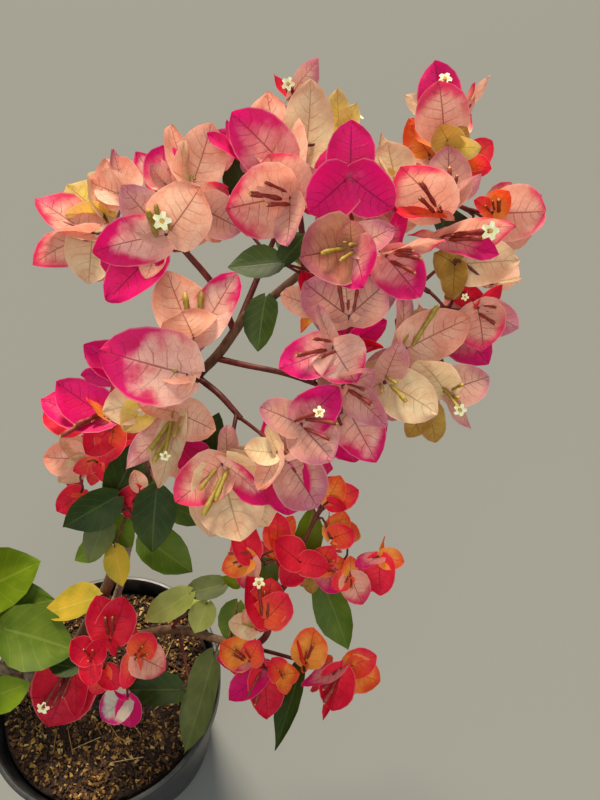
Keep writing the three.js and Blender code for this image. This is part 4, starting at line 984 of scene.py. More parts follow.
SEEN_LEAVES = {
    "bracts_top_front": [Leaf((282, 262), (228, 267), 0, 4, 35, "dark")],
    "bracts_centre_high": [Leaf((280, 264), (307, 234), -8, -2, -30, "dark", 0.9)],
    "bracts_stem_cup": [Leaf((266, 297), (253, 350), 0, 8, 25, "dark", 0.92)],
    "leaves_stem": [
        Leaf((113, 497), (144, 440), 0, -4, 20, "dark", 0.9),
        Leaf((118, 496), (62, 528), 8, 12, -20, "dark", 0.95),
        Leaf((157, 488), (148, 552), 12, 22, 5, "dark"),
        Leaf((143, 536), (190, 574), 4, 12, -10, "mid"),
        Leaf((107, 518), (86, 562), 2, 8, 15, "grey", 0.95),
        Leaf((114, 546), (124, 586), 4, 12, 15, "turning", 0.9),
        Leaf((112, 520), (134, 545), -10, -4, 0, "bright", 1.2),
        Leaf((104, 542), (74, 560), -14, -8, 0, "bright")],
    "leaves_stem_back": [
        Leaf((164, 502), (204, 526), -10, -8, 30, "mid", 0.8),
        Leaf((204, 450), (218, 412), 4, 4, 20, "dark", 0.9),
        Leaf((152, 476), (162, 494), 0, 2, 0, "bright")],
    "leaves_pot_left": [
        Leaf((98, 597), (40, 612), 12, 10, 35, "turning", 0.9),
        Leaf((-20, 590), (38, 562), -12, -1, -10, "bright", 1.2),
        Leaf((2, 628), (76, 646), 14, 29, 5, "mid", 1.05),
        Leaf((80, 668), (46, 664), 24, 22, 20, "dark"),
        Leaf((-16, 700), (28, 682), 29, 34, 10, "bright"),
        Leaf((-16, 616), (52, 596), -6, -1, -10, "mid", 1.1)],
    "leaves_pot_right": [
        Leaf((191, 592), (145, 624), 0, 6, 15, "pale", 0.8),
        Leaf((208, 602), (196, 634), 0, 8, 0, "pale", 1.2),
        Leaf((226, 583), (182, 596), -6, 0, 15, "grey", 0.8),
        Leaf((238, 602), (224, 642), 4, 10, 10, "mid")],
    "leaves_pot_front": [
        Leaf((182, 690), (125, 688), 4, 8, 10, "dark", 0.8),
        Leaf((214, 656), (181, 756), 10, 14, 38, "grey", 0.6)],
    "bracts_orange_right": [Leaf((322, 582), (351, 650), -4, 4, 25, "mid", 0.8)],
    "bracts_orange_rise": [
        Leaf((302, 560), (317, 508), -8, -4, 20, "bright", 0.8),
        Leaf((262, 560), (278, 584), 0, 4, 0, "mid"),
        Leaf((240, 586), (222, 576), 0, 4, 20, "bright", 0.8)],
    "bracts_orange_tip": [Leaf((302, 660), (275, 754), 0, 10, 40, "dark", 0.45)],
}
print("leaves set by the photograph:", sum(len(rows) for rows in SEEN_LEAVES.values()))

# %% [markdown]
# Stems come first. Each one leaves its limb as an arch, so that units and leaves know where
# their twigs can start.

# %% Stems of the sprays
ARCH = 0.08  # how far a stem's middle is lifted, as a share of its span
TWIG_RADIUS = 1.2
STEM_FOOT_SHARE = 0.75  # of its limb's radius
STEM_SLIMNESS = 90


def stem_of(spray):
    host = LIMBS[spray["on"]]
    way = host["way"]
    heart = Vector(spray["heart"])
    foot = way.at(spray["at"])
    span = (heart - foot).length
    start = foot + way.heading(1) * GAP if spray["at"] == 1 else foot
    bend = start.lerp(heart, 0.5) + Vector((0, 0, span * ARCH))
    spray["stem"] = arch_way(start, bend, heart)
    spray["stem_radius"] = min(limb_radius(host, spray["at"]) * STEM_FOOT_SHARE,
                               TWIG_RADIUS + span / STEM_SLIMNESS)


for spray in SPRAYS.values():
    stem_of(spray)
print("longest stem", round(max(s["stem"].length for s in SPRAYS.values())), "mm")

# %% [markdown]
# Nothing on a plant grows through its neighbour. Everything that has grown is kept as a small
# search tree of its faces, and a new blade is tested against those whose boxes it meets. A
# blocked unit tries another turn, as a real shoot finds its way to the light.

# %% Keeping clear
grown = []


def keep(corners, faces):
    corners = np.asarray(corners)
    grown.append((corners.min(0), corners.max(0),
                  BVHTree.FromPolygons([Vector(c) for c in corners], faces)))


def crossings(blade):
    """How many grown shapes a new blade runs into."""
    corners = blade["corners"]
    low, high = corners.min(0), corners.max(0)
    tree = None
    count = 0
    for other_low, other_high, other in grown:
        if np.all(low <= other_high) and np.all(high >= other_low):
            tree = tree or BVHTree.FromPolygons([Vector(c) for c in corners], blade["faces"])
            count += bool(tree.overlap(other))
    return count


for piece in limb_pieces.values():
    keep([v.co / MM for v in piece.data.vertices], [p.vertices[:] for p in piece.data.polygons])
print("limbs to keep clear of:", len(grown))

# %% [markdown]
# A unit is three bracts round one axis. Each bract takes a number of its own from the rule,
# which sets how it ripples and folds and how broad it is.

# %% Bracts
def chance(seed, item, draw):
    """A number from 0 to 1 that depends only on its three whole numbers."""
    wave = math.sin(seed * 127.1 + item * 311.7 + draw * 74.7) * 43758.5453
    return wave - math.floor(wave)


def frame_along(origin, along, toward):
    """A placing matrix with its Y along one way and its Z as near as can be to another."""
    y = along.normalized()
    x = y.cross(toward).normalized()
    z = x.cross(y)
    return Matrix([(x[k], y[k], z[k], origin[k]) for k in range(3)] + [(0, 0, 0, 1)])


def bract_at(base, along, inner, length, curl, draw, tone, wide=1.0):
    """One bract. Its draw, from 0 to 1, sets its ripple, how far it is folded and its width."""
    place = frame_along(base, along, inner)
    fold = 0.3 * ((3 * draw) % 1) - 0.04
    wide = wide * (0.94 + 0.12 * ((7 * draw) % 1))
    corners, faces, blade = blade_corners("bract", length, curl, fold, 6 * draw, place, wide=wide)
    return dict(corners=corners, faces=faces, blade=blade, tone=tone, along=along, length=length)


# %% [markdown]
# What the photograph shows is grown first. A single photograph can't tell the depth of a unit
# to the millimetre, so each one may move a little along the line of sight, to where it crosses
# least and keeps best to its spray's own space.

# %% Growing what the photograph shows
SEEN_SEED = 300
SHIFTS = [0, 3, -3, 6, -6, 9, -9]  # tried along the line of sight, in millimetres
FREE_PAST = 6.0  # how far a bract may reach past its spray's space at no cost
PAST_COST = 0.4  # for each further millimetre, where a crossing costs 1
SHIFT_COST = 0.1


def space_of(name):
    """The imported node's box, in millimetres."""
    low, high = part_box(name)
    return np.array(low) / MM, np.array(high) / MM


def unit_as_seen(spray, i, row, shift):
    """A unit where the photograph shows it, shifted along the line of sight by a little."""
    depth = depth_of(Vector(spray["heart"])) - row.near - shift
    seed = spray["seed"] + SEEN_SEED

    def spot(seen):
        u, v, rise = seen
        return seen_at(u, v, depth - rise)

    base = spot((row.u, row.v, 0))
    toward = (CAMERA_PLACE - base).normalized()
    bracts = []
    for k, (u, v, rise, roll, tone, *wide) in enumerate(row.bracts):
        draw = [chance(seed, i, 2 * k + j) for j in range(2)]
        reach = spot((u, v, rise)) - base
        along = reach.normalized()
        inner = Matrix.Rotation(math.radians(roll), 3, along) @ toward
        bracts.append(bract_at(base, along, inner, reach.length, 0.2 * (draw[0] - 0.4),
                               draw[1], tone, *wide))
    if row.aim:
        axis = (spot(row.aim) - base).normalized()
    else:
        axis = (sum((b["along"] for b in bracts), Vector()) - 2 * toward).normalized()
    return dict(base=base, axis=axis, bracts=bracts, item=i, seed=seed, hold=2.4, seen=True,
                star=row.star and spot(row.star), is_open=row.star is not None)


def best_seen(name, spray, i, row):
    """A seen unit at the depth where it fits best."""
    low, high = space_of(name)
    best = None
    for shift in SHIFTS:
        unit = unit_as_seen(spray, i, row, shift)
        past = 0.0
        count = 0
        for bract in unit["bracts"]:
            past = max(past, (low - bract["corners"].min(0)).max(),
                       (bract["corners"].max(0) - high).max())
            count += crossings(bract)
        cost = count + PAST_COST * max(0.0, past - FREE_PAST) + SHIFT_COST * abs(shift)
        if best is None or cost < best[0]:
            best = (cost, unit)
    return best[1]


def leaf_as_seen(spray, row):
    """A leaf from its foot to its tip as the photograph shows them, on the nearest wood."""
    depth = depth_of(Vector(spray["heart"]))
    foot = seen_at(*row.foot, depth - row.near)
    tip = seen_at(*row.tip, depth - row.tip_near)
    along = (tip - foot).normalized()
    toward = (CAMERA_PLACE - foot).normalized()
    face = Matrix.Rotation(math.radians(row.roll), 3, along) @ toward
    place = frame_along(foot, along, face)
    ripple = 6 * chance(row.foot[0], row.foot[1], 1)
    corners, faces, blade = blade_corners("leaf", (tip - foot).length, -0.06, 0.15, ripple,
                                          place, wide=row.wide)
    wood = [way.at(s) for way in (spray["stem"], *(limb["way"] for limb in LIMBS.values()))
            for s in np.linspace(0.1, 1, 19)]
    start = min(wood, key=lambda p: (p - foot).length)
    return dict(corners=corners, faces=faces, blade=blade, foot=start, neck=foot + along,
                tone=row.green)


front = Heap()  # all that has grown, as one heap


def take(blades):
    for blade in blades:
        keep(blade["corners"], blade["faces"])
        front.add(blade["corners"], blade["faces"], 0)


for name, spray in SPRAYS.items():
    spray["grown"] = []
    spray["leafage"] = []
    for i, row in enumerate(SEEN.get(name, [])):
        spray["grown"].append(best_seen(name, spray, i, row))
        take(spray["grown"][-1]["bracts"])
    for row in SEEN_LEAVES.get(name, []):
        spray["leafage"].append(leaf_as_seen(spray, row))
        take(spray["leafage"][-1:])
seen_count = len(front.corners)
print("blades by the photograph:", seen_count)

# %% [markdown]
# Then the rule adds what the photograph can't show. Where it shows the floor between the
# sprays, nothing may be added, so a new blade has to stand behind those that show, or past the
# picture's edge.

# %% What the photograph hides
HIDDEN_SHARE = 0.92  # of a hidden blade's corners
screen = BVHTree.FromPolygons([Vector(c) for c in np.concatenate(front.corners)], front.faces)


def hidden(corners):
    """Whether the photograph couldn't show a blade: it is behind others or past the edge."""
    some = corners[::3]
    may_show = (1 - HIDDEN_SHARE) * len(some)
    for corner in some:
        way = Vector(corner) - CAMERA_PLACE
        depth = way.dot(CAMERA_WAY)
        beside = abs(way.dot(IMAGE_RIGHT)) > depth * IMAGE_WIDTH / 2 / FOCAL_PIXELS
        beyond = abs(way.dot(IMAGE_UP)) > depth * IMAGE_HEIGHT / 2 / FOCAL_PIXELS
        if not (beside or beyond):
            hit = screen.ray_cast(CAMERA_PLACE, way.normalized(), way.length - 1)
            may_show -= hit[0] is None
            if may_show < 0:
                return False
    return True


def fits(blade):
    return hidden(blade["corners"]) and not crossings(blade)


# %% [markdown]
# The rule turns each unit away from the heart and a little to the light, opens it more or less,
# and lets size and curl differ from bract to bract. A leaf stands on its own stalk. It droops a
# little, and turns its upper side to the light.

# %% Units and leaves by the rule
GOLDEN_ANGLE = math.pi * (3 - math.sqrt(5))
LIGHT = Vector((0.1, -0.45, 0.85))
TRIES = 24
DRAWS = 20  # numbers kept for each try
OPEN_SHARE = 0.3  # of the units have an open flower
LEAF_SEED = 50


def facing(spray, i, n, wobble):
    """The way that shoot i of n faces, along a golden spiral round the spray's own way."""
    axis = Vector(spray["face"]).normalized()
    tilt = spray["spread"] * math.sqrt((i + 0.5) / n) + wobble
    spoke = across(axis, i * GOLDEN_ANGLE + spray["seed"])
    return axis * math.cos(tilt) + spoke * math.sin(tilt)


def unit_by_rule(spray, i, n, attempt, scale, seed_shift):
    seed = spray["seed"] + seed_shift
    draw = [chance(seed, i, k + DRAWS * attempt) for k in range(DRAWS)]
    way = facing(spray, i, n, (draw[0] - 0.5) * 0.12 * attempt)
    axis = (way + LIGHT * 0.25).normalized()
    base = Vector(spray["heart"]) + way * spray["reach"] * (0.75 + 0.4 * draw[1])
    tones = spray["tones"]
    bracts = []
    for k in range(3):
        spoke = across(axis, 2 * math.pi * draw[3] + 2 * math.pi * k / 3)
        lean = 0.5 + 0.6 * draw[2] + 0.3 * (draw[4 + k] - 0.5)
        length = spray["bract"] * (0.88 + 0.24 * draw[8 + k]) * scale
        curl = 0.28 * (draw[12 + k] - 0.35)
        along = axis * math.cos(lean) + spoke * math.sin(lean)
        inner = axis * math.sin(lean) - spoke * math.cos(lean)
        bracts.append(bract_at(base, along, inner, length, curl, draw[12 + k],
                               tones[(i + k) % len(tones)]))
    return dict(base=base, axis=axis, bracts=bracts, item=i, seed=seed, hold=1.3, seen=False,
                star=None, is_open=chance(seed + 9, i, 0) < OPEN_SHARE)


def best_unit(spray, i, n, scale=1.0, seed_shift=0):
    """The first turn of a unit whose bracts are all free, or else the one that keeps most."""
    best = None
    for attempt in range(TRIES):
        unit = unit_by_rule(spray, i, n, attempt, scale, seed_shift)
        free = [bract for bract in unit["bracts"] if fits(bract)]
        if best is None or len(free) > len(best["bracts"]):
            best = dict(unit, bracts=free)
        if len(free) == 3:
            break
    return best


def leaf_by_rule(spray, i, n, attempt, scale, seed_shift):
    seed = spray["seed"] + LEAF_SEED + seed_shift
    draw = [chance(seed, i, k + DRAWS * attempt) for k in range(6)]
    way = facing(spray, i, n, (draw[0] - 0.5) * 0.8)
    foot = spray["stem"].at(0.35 + 0.6 * (i + 0.5) / n)
    droop = (way - Vector((0, 0, 0.5 * draw[2]))).normalized()
    face = Vector((0.6 * (draw[3] - 0.5), LIGHT.y, 1))
    stalk = spray["reach"] * (0.5 + 0.5 * draw[1])
    length = (spray["bract"] * (1 + 0.4 * draw[4]) + 4) * scale
    place = frame_along(foot, droop, face)
    corners, faces, blade = blade_corners("leaf", length, 0.2 * (draw[5] - 0.7),
                                          0.1 + 0.25 * draw[3], 6 * draw[1], place, stalk)
    greens = spray["greens"]
    return dict(corners=corners, faces=faces, blade=blade, foot=foot,
                neck=foot + droop * (stalk + 1), tone=greens[i % len(greens)])


def best_leaf(spray, i, n, scale=1.0, seed_shift=0):
    for attempt in range(TRIES):
        leaf = leaf_by_rule(spray, i, n, attempt, scale, seed_shift)
        if fits(leaf):
            return leaf
    return None


# %% [markdown]
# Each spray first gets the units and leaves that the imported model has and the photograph
# doesn't show. Finer ones follow: small young units on thin twigs and smaller leaves, as long as
# they stay within the spray's own space. In a spray that shows in the photograph they stand on
# its far side.

# %% Growing the rest
FINE_UNITS = 7  # young units that each spray may add
FINE_SCALE = 0.7
FINE_SEED = 200
FAR_LEAVES = 3  # leaves that each spray of bracts may add
FAR_SCALE = 0.8
FAR_SEED = 100
FAR_SPREAD = 1.3
SPACE_MARGIN = 7.0


def inside(name, blade):
    """Whether a blade keeps to its spray's own space."""
    low, high = space_of(name)
    return (np.all(blade["corners"].min(0) >= low - SPACE_MARGIN)
            and np.all(blade["corners"].max(0) <= high + SPACE_MARGIN))


def take_unit(spray, unit):
    spray["grown"].append(unit)
    take(unit["bracts"])


def take_leaf(spray, leaf):
    spray["leafage"].append(leaf)
    take([leaf])


def grow_rest(name, spray):
    for i in range(len(spray["grown"]), spray["units"]):
        unit = best_unit(spray, i, spray["units"])
        if unit["bracts"]:
            take_unit(spray, unit)
    far_side = dict(spray, face=CAMERA_WAY, spread=FAR_SPREAD) if name in SEEN else spray
    for i in range(FINE_UNITS if spray["units"] else 0):
        unit = best_unit(far_side, i, FINE_UNITS, FINE_SCALE, FINE_SEED)
        if len(unit["bracts"]) > 1 and all(inside(name, b) for b in unit["bracts"]):
            take_unit(spray, unit)
    for i in range(len(spray["leafage"]), spray["leaves"]):
        leaf = best_leaf(spray, i, spray["leaves"])
        if leaf:
            take_leaf(spray, leaf)
    for i in range(FAR_LEAVES if spray["units"] else 0):
        leaf = best_leaf(far_side, i, FAR_LEAVES, FAR_SCALE, FAR_SEED)
        if leaf and inside(name, leaf):
            take_leaf(spray, leaf)


for name, spray in SPRAYS.items():
    grow_rest(name, spray)
print("blades by the rule:", len(front.corners) - seen_count)

# %% [markdown]
# Each bract carries one slender flower. Most are still closed tubes with a swollen foot and a
# narrow waist. One in a few is open, with five pale lobes.

# %% Flowers
TUBE_LENGTH = 0.54  # of the bract's length
TUBE_FOOT = 0.13  # where the tube leaves the bract's midrib
TUBE_RADII = [1.0, 1.75, 1.35, 1.45, 1.9, 1.5]
STAR_RADIUS = 5.4
LOBE_NOTCH = 0.6  # how far in the star goes between its lobes
FULL_BRACT = 42  # a bract of this length or more has a tube of full thickness
OLIVE, RED_BROWN, OCHRE, CREAM = range(4)
BROWN_TUBES = {"magenta", "crimson", "scarlet", "rose", "blush", "mauve", "orange"}


def add_flower(heap, start, way, length, thick, colour, is_open, look):
    """A tube from its start, along a way. If open, its star looks along a way of its own."""
    bend = start + way * length * 0.5 + Vector((0, 0, 0.03 * length))
    curve = arch_way(start, bend, start + way * length)
    points = [curve.at(s) for s in np.linspace(0, 1, len(TUBE_RADII))]
    heap.add(*tube_corners(points, [r * thick for r in TUBE_RADII], 6), colour)
    if is_open:
        mouth = points[-1] + way * 0.4
        ring = []
        for k in range(15):
            radius = STAR_RADIUS * thick * (LOBE_NOTCH if k % 3 == 0 else 1.0)
            drop = 0.3 if k % 3 == 0 else -0.7
            ring.append(mouth + across(look, 2 * math.pi * k / 15) * radius + look * drop)
        heap.add([mouth - look * 0.5, *ring], [(0, 1 + k, 1 + (k + 1) % 15) for k in range(15)],
                 CREAM)
        eye = [mouth + across(look, math.pi * k / 3) * 1.5 * thick + look * 0.3
               for k in range(6)]
        heap.add(eye, [tuple(range(6))], OCHRE)
    else:
        tip = points[-1] + way * 1.6 * thick
        rim = [points[-1] + across(way, 2 * math.pi * k / 6) * 1.1 * thick for k in range(6)]
        heap.add([*rim, tip], [(k, (k + 1) % 6, 6) for k in range(6)], OCHRE)


def add_flowers(heap, unit):
    """A unit's flowers, but for those by the rule whose tip would show in the photograph."""
    colour = RED_BROWN if unit["bracts"][0]["tone"] in BROWN_TUBES else OLIVE
    for k, bract in enumerate(unit["bracts"]):
        draw = chance(unit["seed"] + 7, unit["item"], k)
        start = unit["base"] + bract["along"] * bract["length"] * TUBE_FOOT
        way = (unit["axis"] * unit["hold"] + bract["along"] * 0.55).normalized()
        length = bract["length"] * TUBE_LENGTH * (0.85 + 0.3 * draw)
        is_open = k == 0 and unit["is_open"]
        look = way
        if is_open and unit["star"]:
            length = (unit["star"] - start).length
            way = (unit["star"] - start).normalized()
            look = (way + 1.5 * (CAMERA_PLACE - start).normalized()).normalized()
        if unit["seen"] or hidden([start + way * length]):
            thick = min(1.1, bract["length"] / FULL_BRACT)
            add_flower(heap, start, way, length, thick, colour, is_open, look)


# %% [markdown]
# A spray's blades become one mesh of each kind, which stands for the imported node. Its stem,
# twigs and flowers join those of the other sprays.

# %% Dressing the sprays
tone_names = list(TONES)
green_names = list(GREENS)
twigs = Heap()
flowers = Heap()


def add_twig(foot, base, axis, bend_from):
    bend = bend_from.lerp(base, 0.3)
    curve = smooth_way([foot, bend, base - axis * 2.2, base + axis * 0.8], 4)
    radii = [1.15, 1.05, 1.0, 0.95, 0.9, 1.3]
    twigs.add(*tube_corners([curve.at(s) for s in (0, 0.2, 0.4, 0.6, 0.8, 1)], radii, 5), 0)


def dress(name, spray):
    """Grows a spray's stem, twigs and flowers, and gives the meshes of its blades."""
    paper = Heap()
    leafage = Heap()
    shares = np.linspace(0, 1, 9)
    radius = spray["stem_radius"]
    twigs.add(*tube_corners([spray["stem"].at(s) for s in shares],
                            [radius * (1 - 0.3 * s) for s in shares], 6), 0)
    for unit in spray["grown"]:
        share = 0.6 + 0.4 * chance(spray["seed"], unit["item"], 1)
        add_twig(spray["stem"].at(share), unit["base"], unit["axis"], Vector(spray["heart"]))
        for k, bract in enumerate(unit["bracts"]):
            flush = 0.3 * (chance(unit["seed"] + 5, unit["item"], k) - 0.5)
            paper.add(bract["corners"], bract["faces"], tone_names.index(bract["tone"]),
                      bract["blade"], flush)
        add_flowers(flowers, unit)
    for leaf in spray["leafage"]:
        leafage.add(leaf["corners"], leaf["faces"], green_names.index(leaf["tone"]),
                    leaf["blade"])
        twigs.add(*tube_corners([leaf["foot"], leaf["foot"].lerp(leaf["neck"], 0.5),
                                 leaf["neck"]], [1.0, 0.9, 0.7], 5), 0)
    made = []
    if paper.count:
        made.append(paper.mesh(name + "_paper", TONES.values()))
    if leafage.count:
        made.append(leafage.mesh(name + "_leaves", GREENS.values()))
    return made


blade_pieces = []
for name, spray in SPRAYS.items():
    made = dress(name, spray)
    for piece in made:
        finish_piece(piece, [name])
    blade_pieces += made
finish_piece(twigs.mesh("twigs", [SHOOT_FINISH]))
finish_piece(flowers.mesh("flowers", FLOWER_FINISHES))
print("blades:", sum(len(p.data.polygons) for p in blade_pieces), "faces in",
      len(blade_pieces), "pieces")

# %% [markdown]
# ## The pot
# The pot is a thin moulded shell of black plastic: a tapering wall, a wider collar and a rolled
# lip. It is made as a potter would, from one profile spun round the middle line. Six round
# holes are then cut in its floor.

# %% Pot
POT_HEIGHT = 190
RIM_RADIUS = 110
FOOT_RADIUS = 80
COLLAR_HEIGHT = 24
COLLAR_STEP = 3.5  # how far the collar stands out from the wall
WALL = 2.6
LIP = 5  # the rolled rim's width
EDGE = 1.6  # the round of an edge
FOOT_CHAMFER = 3.5
SPIN_STEPS = 96


def wall_at(z):
    return FOOT_RADIUS + (RIM_RADIUS - COLLAR_STEP - FOOT_RADIUS) * z / POT_HEIGHT


def thrown(name, profile, sides):
    """A round solid drawn up ring by ring from a disc, through (radius, height) in millimetres."""
    deselect_all()
    radius, height = profile[0]
    bpy.ops.mesh.primitive_circle_add(vertices=sides, radius=radius * MM, fill_type="NGON",
                                      location=(0, 0, height * MM))
    piece = bpy.context.object
    piece.name = name
    bpy.ops.object.transform_apply(location=True)
    bpy.ops.object.mode_set(mode="EDIT")
    bpy.ops.mesh.select_all(action="SELECT")
    for next_radius, next_height in profile[1:]:
        bpy.ops.mesh.extrude_region_move(
            TRANSFORM_OT_translate={"value": (0, 0, (next_height - height) * MM)})
        share = next_radius / radius
        bpy.ops.transform.resize(value=(share, share, 1), center_override=(0, 0, 0))
        radius, height = next_radius, next_height
    bpy.ops.mesh.select_all(action="SELECT")
    bpy.ops.mesh.normals_make_consistent(inside=False)
    bpy.ops.object.mode_set(mode="OBJECT")
    return piece


collar_foot = POT_HEIGHT - COLLAR_HEIGHT
pot = thrown("nursery_pot", [
    (FOOT_RADIUS - FOOT_CHAMFER, 0), (FOOT_RADIUS - 1, 1), (FOOT_RADIUS, FOOT_CHAMFER),
    (wall_at(40), 40), (wall_at(80), 80), (wall_at(120), 120), (wall_at(collar_foot), collar_foot),
    (RIM_RADIUS - EDGE - 0.8, collar_foot + 0.5), (RIM_RADIUS - EDGE, collar_foot + EDGE),
    (RIM_RADIUS - 0.6, POT_HEIGHT - 5), (RIM_RADIUS, POT_HEIGHT - 4),
    (RIM_RADIUS, POT_HEIGHT - EDGE), (RIM_RADIUS - 0.6, POT_HEIGHT - 0.4),
    (RIM_RADIUS - EDGE, POT_HEIGHT), (RIM_RADIUS - LIP + 1.2, POT_HEIGHT),
    (RIM_RADIUS - LIP, POT_HEIGHT - 1.2), (RIM_RADIUS - LIP - 0.4, POT_HEIGHT - 5),
    (wall_at(collar_foot) - WALL, collar_foot - LIP), (wall_at(WALL) - WALL, WALL),
], SPIN_STEPS)

DRAIN_HOLES = 6
DRAIN_RADIUS = 7
DRAIN_CIRCLE = 56  # the holes' distance from the middle
for i in range(DRAIN_HOLES):
    turn = 2 * math.pi * i / DRAIN_HOLES
    deselect_all()
    bpy.ops.mesh.primitive_cylinder_add(
        vertices=24, radius=DRAIN_RADIUS * MM, depth=4 * WALL * MM,
        location=(DRAIN_CIRCLE * MM * math.cos(turn), DRAIN_CIRCLE * MM * math.sin(turn), 0))
    drill = bpy.context.object
    hole = pot.modifiers.new("hole", "BOOLEAN")
    hole.object = drill
    hole.solver = "EXACT"
    bpy.context.view_layer.objects.active = pot
    bpy.ops.object.modifier_apply(modifier="hole")
    bpy.data.objects.remove(drill)
deselect_all()
pot.select_set(True)
bpy.context.view_layer.objects.active = pot
bpy.ops.object.shade_smooth_by_angle(angle=math.radians(40))
print("pot faces:", len(pot.data.polygons))

# %% [markdown]
# Nursery pots are moulded from recycled polypropylene. The plastic is nearly black with a cool
# satin gloss. Watering and handling leave pale dust and fine scuffs, paler towards the top.

# %% Finish of the pot
material, tree, output, place = new_material("moulded black polypropylene")
dust_cloud = noise(tree, place, 28.0, 6.0, 0.65)
height = add(tree, "ShaderNodeSeparateXYZ", {0: place}).outputs[2]
# the pale cloud is made stronger towards the top of the wall
up_wall = ramp(tree, height, 0.12, POT_HEIGHT * MM, 0.0, 0.12)
dust = ramp(tree, calc(tree, "ADD", dust_cloud, up_wall), 0.52, 0.95, 0.0, 0.35)
scuff_place = add(tree, "ShaderNodeMapping", {"Vector": place, "Scale": (1.0, 1.0, 9.0)})
scuffs = noise(tree, scuff_place.outputs[0], 120.0, 2.0)
worn = calc(tree, "MAXIMUM", dust, ramp(tree, scuffs, 0.62, 0.72, 0.0, 0.3))
plastic = blend(tree, worn, linear("131518"), linear("66645e"))
bump = add(tree, "ShaderNodeBump", {"Height": scuffs, "Strength": 0.15, "Distance": 0.0004})
surface = add(tree, "ShaderNodeBsdfPrincipled",
              {"Base Color": plastic, "Roughness": ramp(tree, worn, 0.0, 0.5, 0.38, 0.75),
               "Normal": bump.outputs[0]})
tree.links.new(surface.outputs[0], output.inputs["Surface"])
pot.data.materials.append(material)
finish_piece(pot, ["pot"])
print("pot finish:", material.name)

# %% [markdown]
# ## The potting mix
# The mix is bark, husk and coir. Its surface is uneven, with crumbs of dark brown among ochre
# and straw-coloured chips, and a few thin dry sticks. The ground of it is a disc whose middle is
# raised and lowered by a cloud. The crumbs and chips are many small flat stones in one mesh, each
# at a place and turn given by its number.

# %% Surface of the mix
soil_radius = wall_at(collar_foot - LIP) - WALL - 2 * GAP
mix = thrown("potting_mix", [
    (wall_at(WALL) - WALL - 2 * GAP, WALL + GAP), (soil_radius, collar_foot - LIP),
    (soil_radius, SOIL_LEVEL - 1.5), (soil_radius - 1.5, SOIL_LEVEL),
    (0.86 * soil_radius, SOIL_LEVEL + 0.1), (0.7 * soil_radius, SOIL_LEVEL + 0.2),
    (0.5 * soil_radius, SOIL_LEVEL + 0.3), (0.3 * soil_radius, SOIL_LEVEL + 0.4),
    (0.1 * soil_radius, SOIL_LEVEL + 0.5)], 72)
top_corners = mix.vertex_groups.new(name="top")
top_corners.add([v.index for v in mix.data.vertices if v.co.z > (SOIL_LEVEL - 0.5) * MM], 1.0,
                "REPLACE")
bpy.context.view_layer.objects.active = mix
fine = mix.modifiers.new("fine", "SUBSURF")
fine.subdivision_type = "SIMPLE"
fine.levels = fine.render_levels = 2
lumps = bpy.data.textures.new("lumps", "CLOUDS")
lumps.noise_scale = 9 * MM
lumps.noise_depth = 3
raised = mix.modifiers.new("raised", "DISPLACE")
raised.texture = lumps
raised.texture_coords = "LOCAL"
raised.vertex_group = "top"
raised.direction = "Z"
raised.strength = 7 * MM
for step in ("fine", "raised"):
    bpy.ops.object.modifier_apply(modifier=step)
deselect_all()
mix.select_set(True)
bpy.ops.object.shade_smooth()
mix_finish = skin("potting mix, dark crumbs", "120b06", "2e1e12", 3.2, 0.95, 2.0)
mix.data.materials.append(mix_finish)
finish_piece(mix, ["soil"])
print("mix faces:", len(mix.data.polygons))

# %% Chips, husks and sticks
CHIPS = 5200
CHIP_SEED = 90
CHIP_FINISHES = [
    skin("crumb of coir, dark brown", "20130a", "382412", 2.0, 0.95, 0.5),
    skin("bark chip, brown", "3c2714", "573b1e", 2.5, 0.9, 0.5),
    skin("husk, ochre", "6e4e1e", "8f6c30", 2.5, 0.85, 0.4),
    skin("husk, straw", "8f7644", "ac945c", 2.5, 0.8, 0.3),
]
CHIP_SHARES = [0.45, 0.8, 0.965, 1.0]  # of the chips, up to and with each finish
chips = Heap()
chip_faces = [(0, 1, 2, 3), (7, 6, 5, 4), (0, 4, 5, 1), (1, 5, 6, 2), (2, 6, 7, 3), (3, 7, 4, 0)]
for i in range(CHIPS):
    draw = [chance(CHIP_SEED, i, k) for k in range(12)]
    distance = (soil_radius - 3) * math.sqrt(draw[0])
    turn = 2 * math.pi * draw[1]
    middle = Vector((distance * math.cos(turn), distance * math.sin(turn),
                     SOIL_LEVEL + 0.4 + 2.6 * draw[2]))
    kind = next(k for k, share in enumerate(CHIP_SHARES) if draw[3] <= share)
    long = 1.5 + 3.2 * draw[4] ** 2 + (1.0 if kind else 0)
    wide = long * (0.35 + 0.45 * draw[5])
    thick = 0.5 + 0.9 * draw[6]
    along = Vector((math.cos(6.3 * draw[7]), math.sin(6.3 * draw[7]), draw[8] - 0.5))
    place = frame_along(middle, along, Vector((draw[9] - 0.5, draw[10] - 0.5, 0.9)))
    box = [(x * wide / 2 * (0.6 if y > 0 else 1.0), y * long / 2, z * thick / 2)
           for z in (1, -1) for x, y in ((-1, -1), (1, -1), (0.8, 1), (-0.8, 1))]
    chips.add([place @ Vector(c) for c in box], chip_faces, kind)

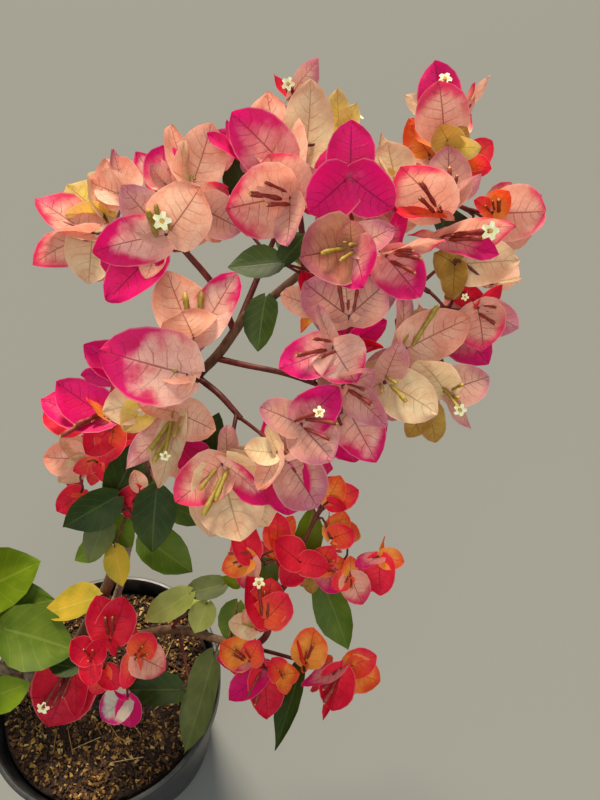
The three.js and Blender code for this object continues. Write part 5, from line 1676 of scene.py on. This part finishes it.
STICKS = 16
STICK_SEED = 91
for i in range(STICKS):
    draw = [chance(STICK_SEED, i, k) for k in range(8)]
    distance = (soil_radius - 26) * math.sqrt(draw[0])
    turn = 2 * math.pi * draw[1]
    middle = Vector((distance * math.cos(turn), distance * math.sin(turn), SOIL_LEVEL + 3.2))
    half = Vector((math.cos(6.3 * draw[2]), math.sin(6.3 * draw[2]), 0.16 * (draw[3] - 0.5)))
    half *= 7 + 15 * draw[4]
    thick = 0.35 + 0.3 * draw[5]
    bow = Vector((0, 0, 1.5 * draw[6]))
    chips.add(*tube_corners([middle - half, middle + bow, middle + half],
                            [thick, thick * 0.9, thick * 0.6], 5), 2 + (i % 2))
chip_piece = chips.mesh("chips_and_husks", CHIP_FINISHES)
chip_piece.data.polygons.foreach_set("use_smooth", [False] * len(chip_piece.data.polygons))
finish_piece(chip_piece)
print("chips:", CHIPS, "sticks:", STICKS)

# %% [markdown]
# ## Floor and light
# The bush stands on a plain pale floor. The light is a hazy sun, high and behind the bush, as the
# glow of the bracts and the narrow shadow beside the pot tell. A soft sky and a wide lamp from
# the front keep the shaded sides open.

# %% Stage
bpy.ops.mesh.primitive_plane_add(size=12, location=(0, 0, -0.0006))
floor = bpy.context.object
floor.name = "floor"
bpy.ops.object.transform_apply(location=True)
material, tree, output, _ = new_material("pale plain floor")
surface = add(tree, "ShaderNodeBsdfPrincipled",
              {"Base Color": linear("70726e"), "Roughness": 0.9, "Specular IOR Level": 0.2})
tree.links.new(surface.outputs[0], output.inputs["Surface"])
floor.data.materials.append(material)

world = bpy.data.worlds.new("soft sky")
bpy.context.scene.world = world
world.use_nodes = True
world.node_tree.nodes["Background"].inputs["Color"].default_value = linear("e9eef2")
world.node_tree.nodes["Background"].inputs["Strength"].default_value = 0.56

SUN_FROM = Vector((-0.14, 0.66, 1.0))
bpy.ops.object.light_add(type="SUN", location=(0, 0, 2))
sun = bpy.context.object
sun.rotation_euler = (-SUN_FROM).to_track_quat("-Z", "Y").to_euler()
sun.data.energy = 6.2
sun.data.angle = math.radians(16)
sun.data.color = linear("fff1dc")[:3]

bpy.ops.object.light_add(type="AREA", location=(0.1, -1.3, 1.5))
fill = bpy.context.object
fill.data.size = 1.6
fill.data.energy = 15
fill_way = Vector((0.1, 0.05, 0.45)) - fill.location
fill.rotation_euler = fill_way.to_track_quat("-Z", "Y").to_euler()

bpy.context.scene.view_settings.view_transform = "Standard"
print("sun", sun.data.energy, "fill", fill.data.energy)
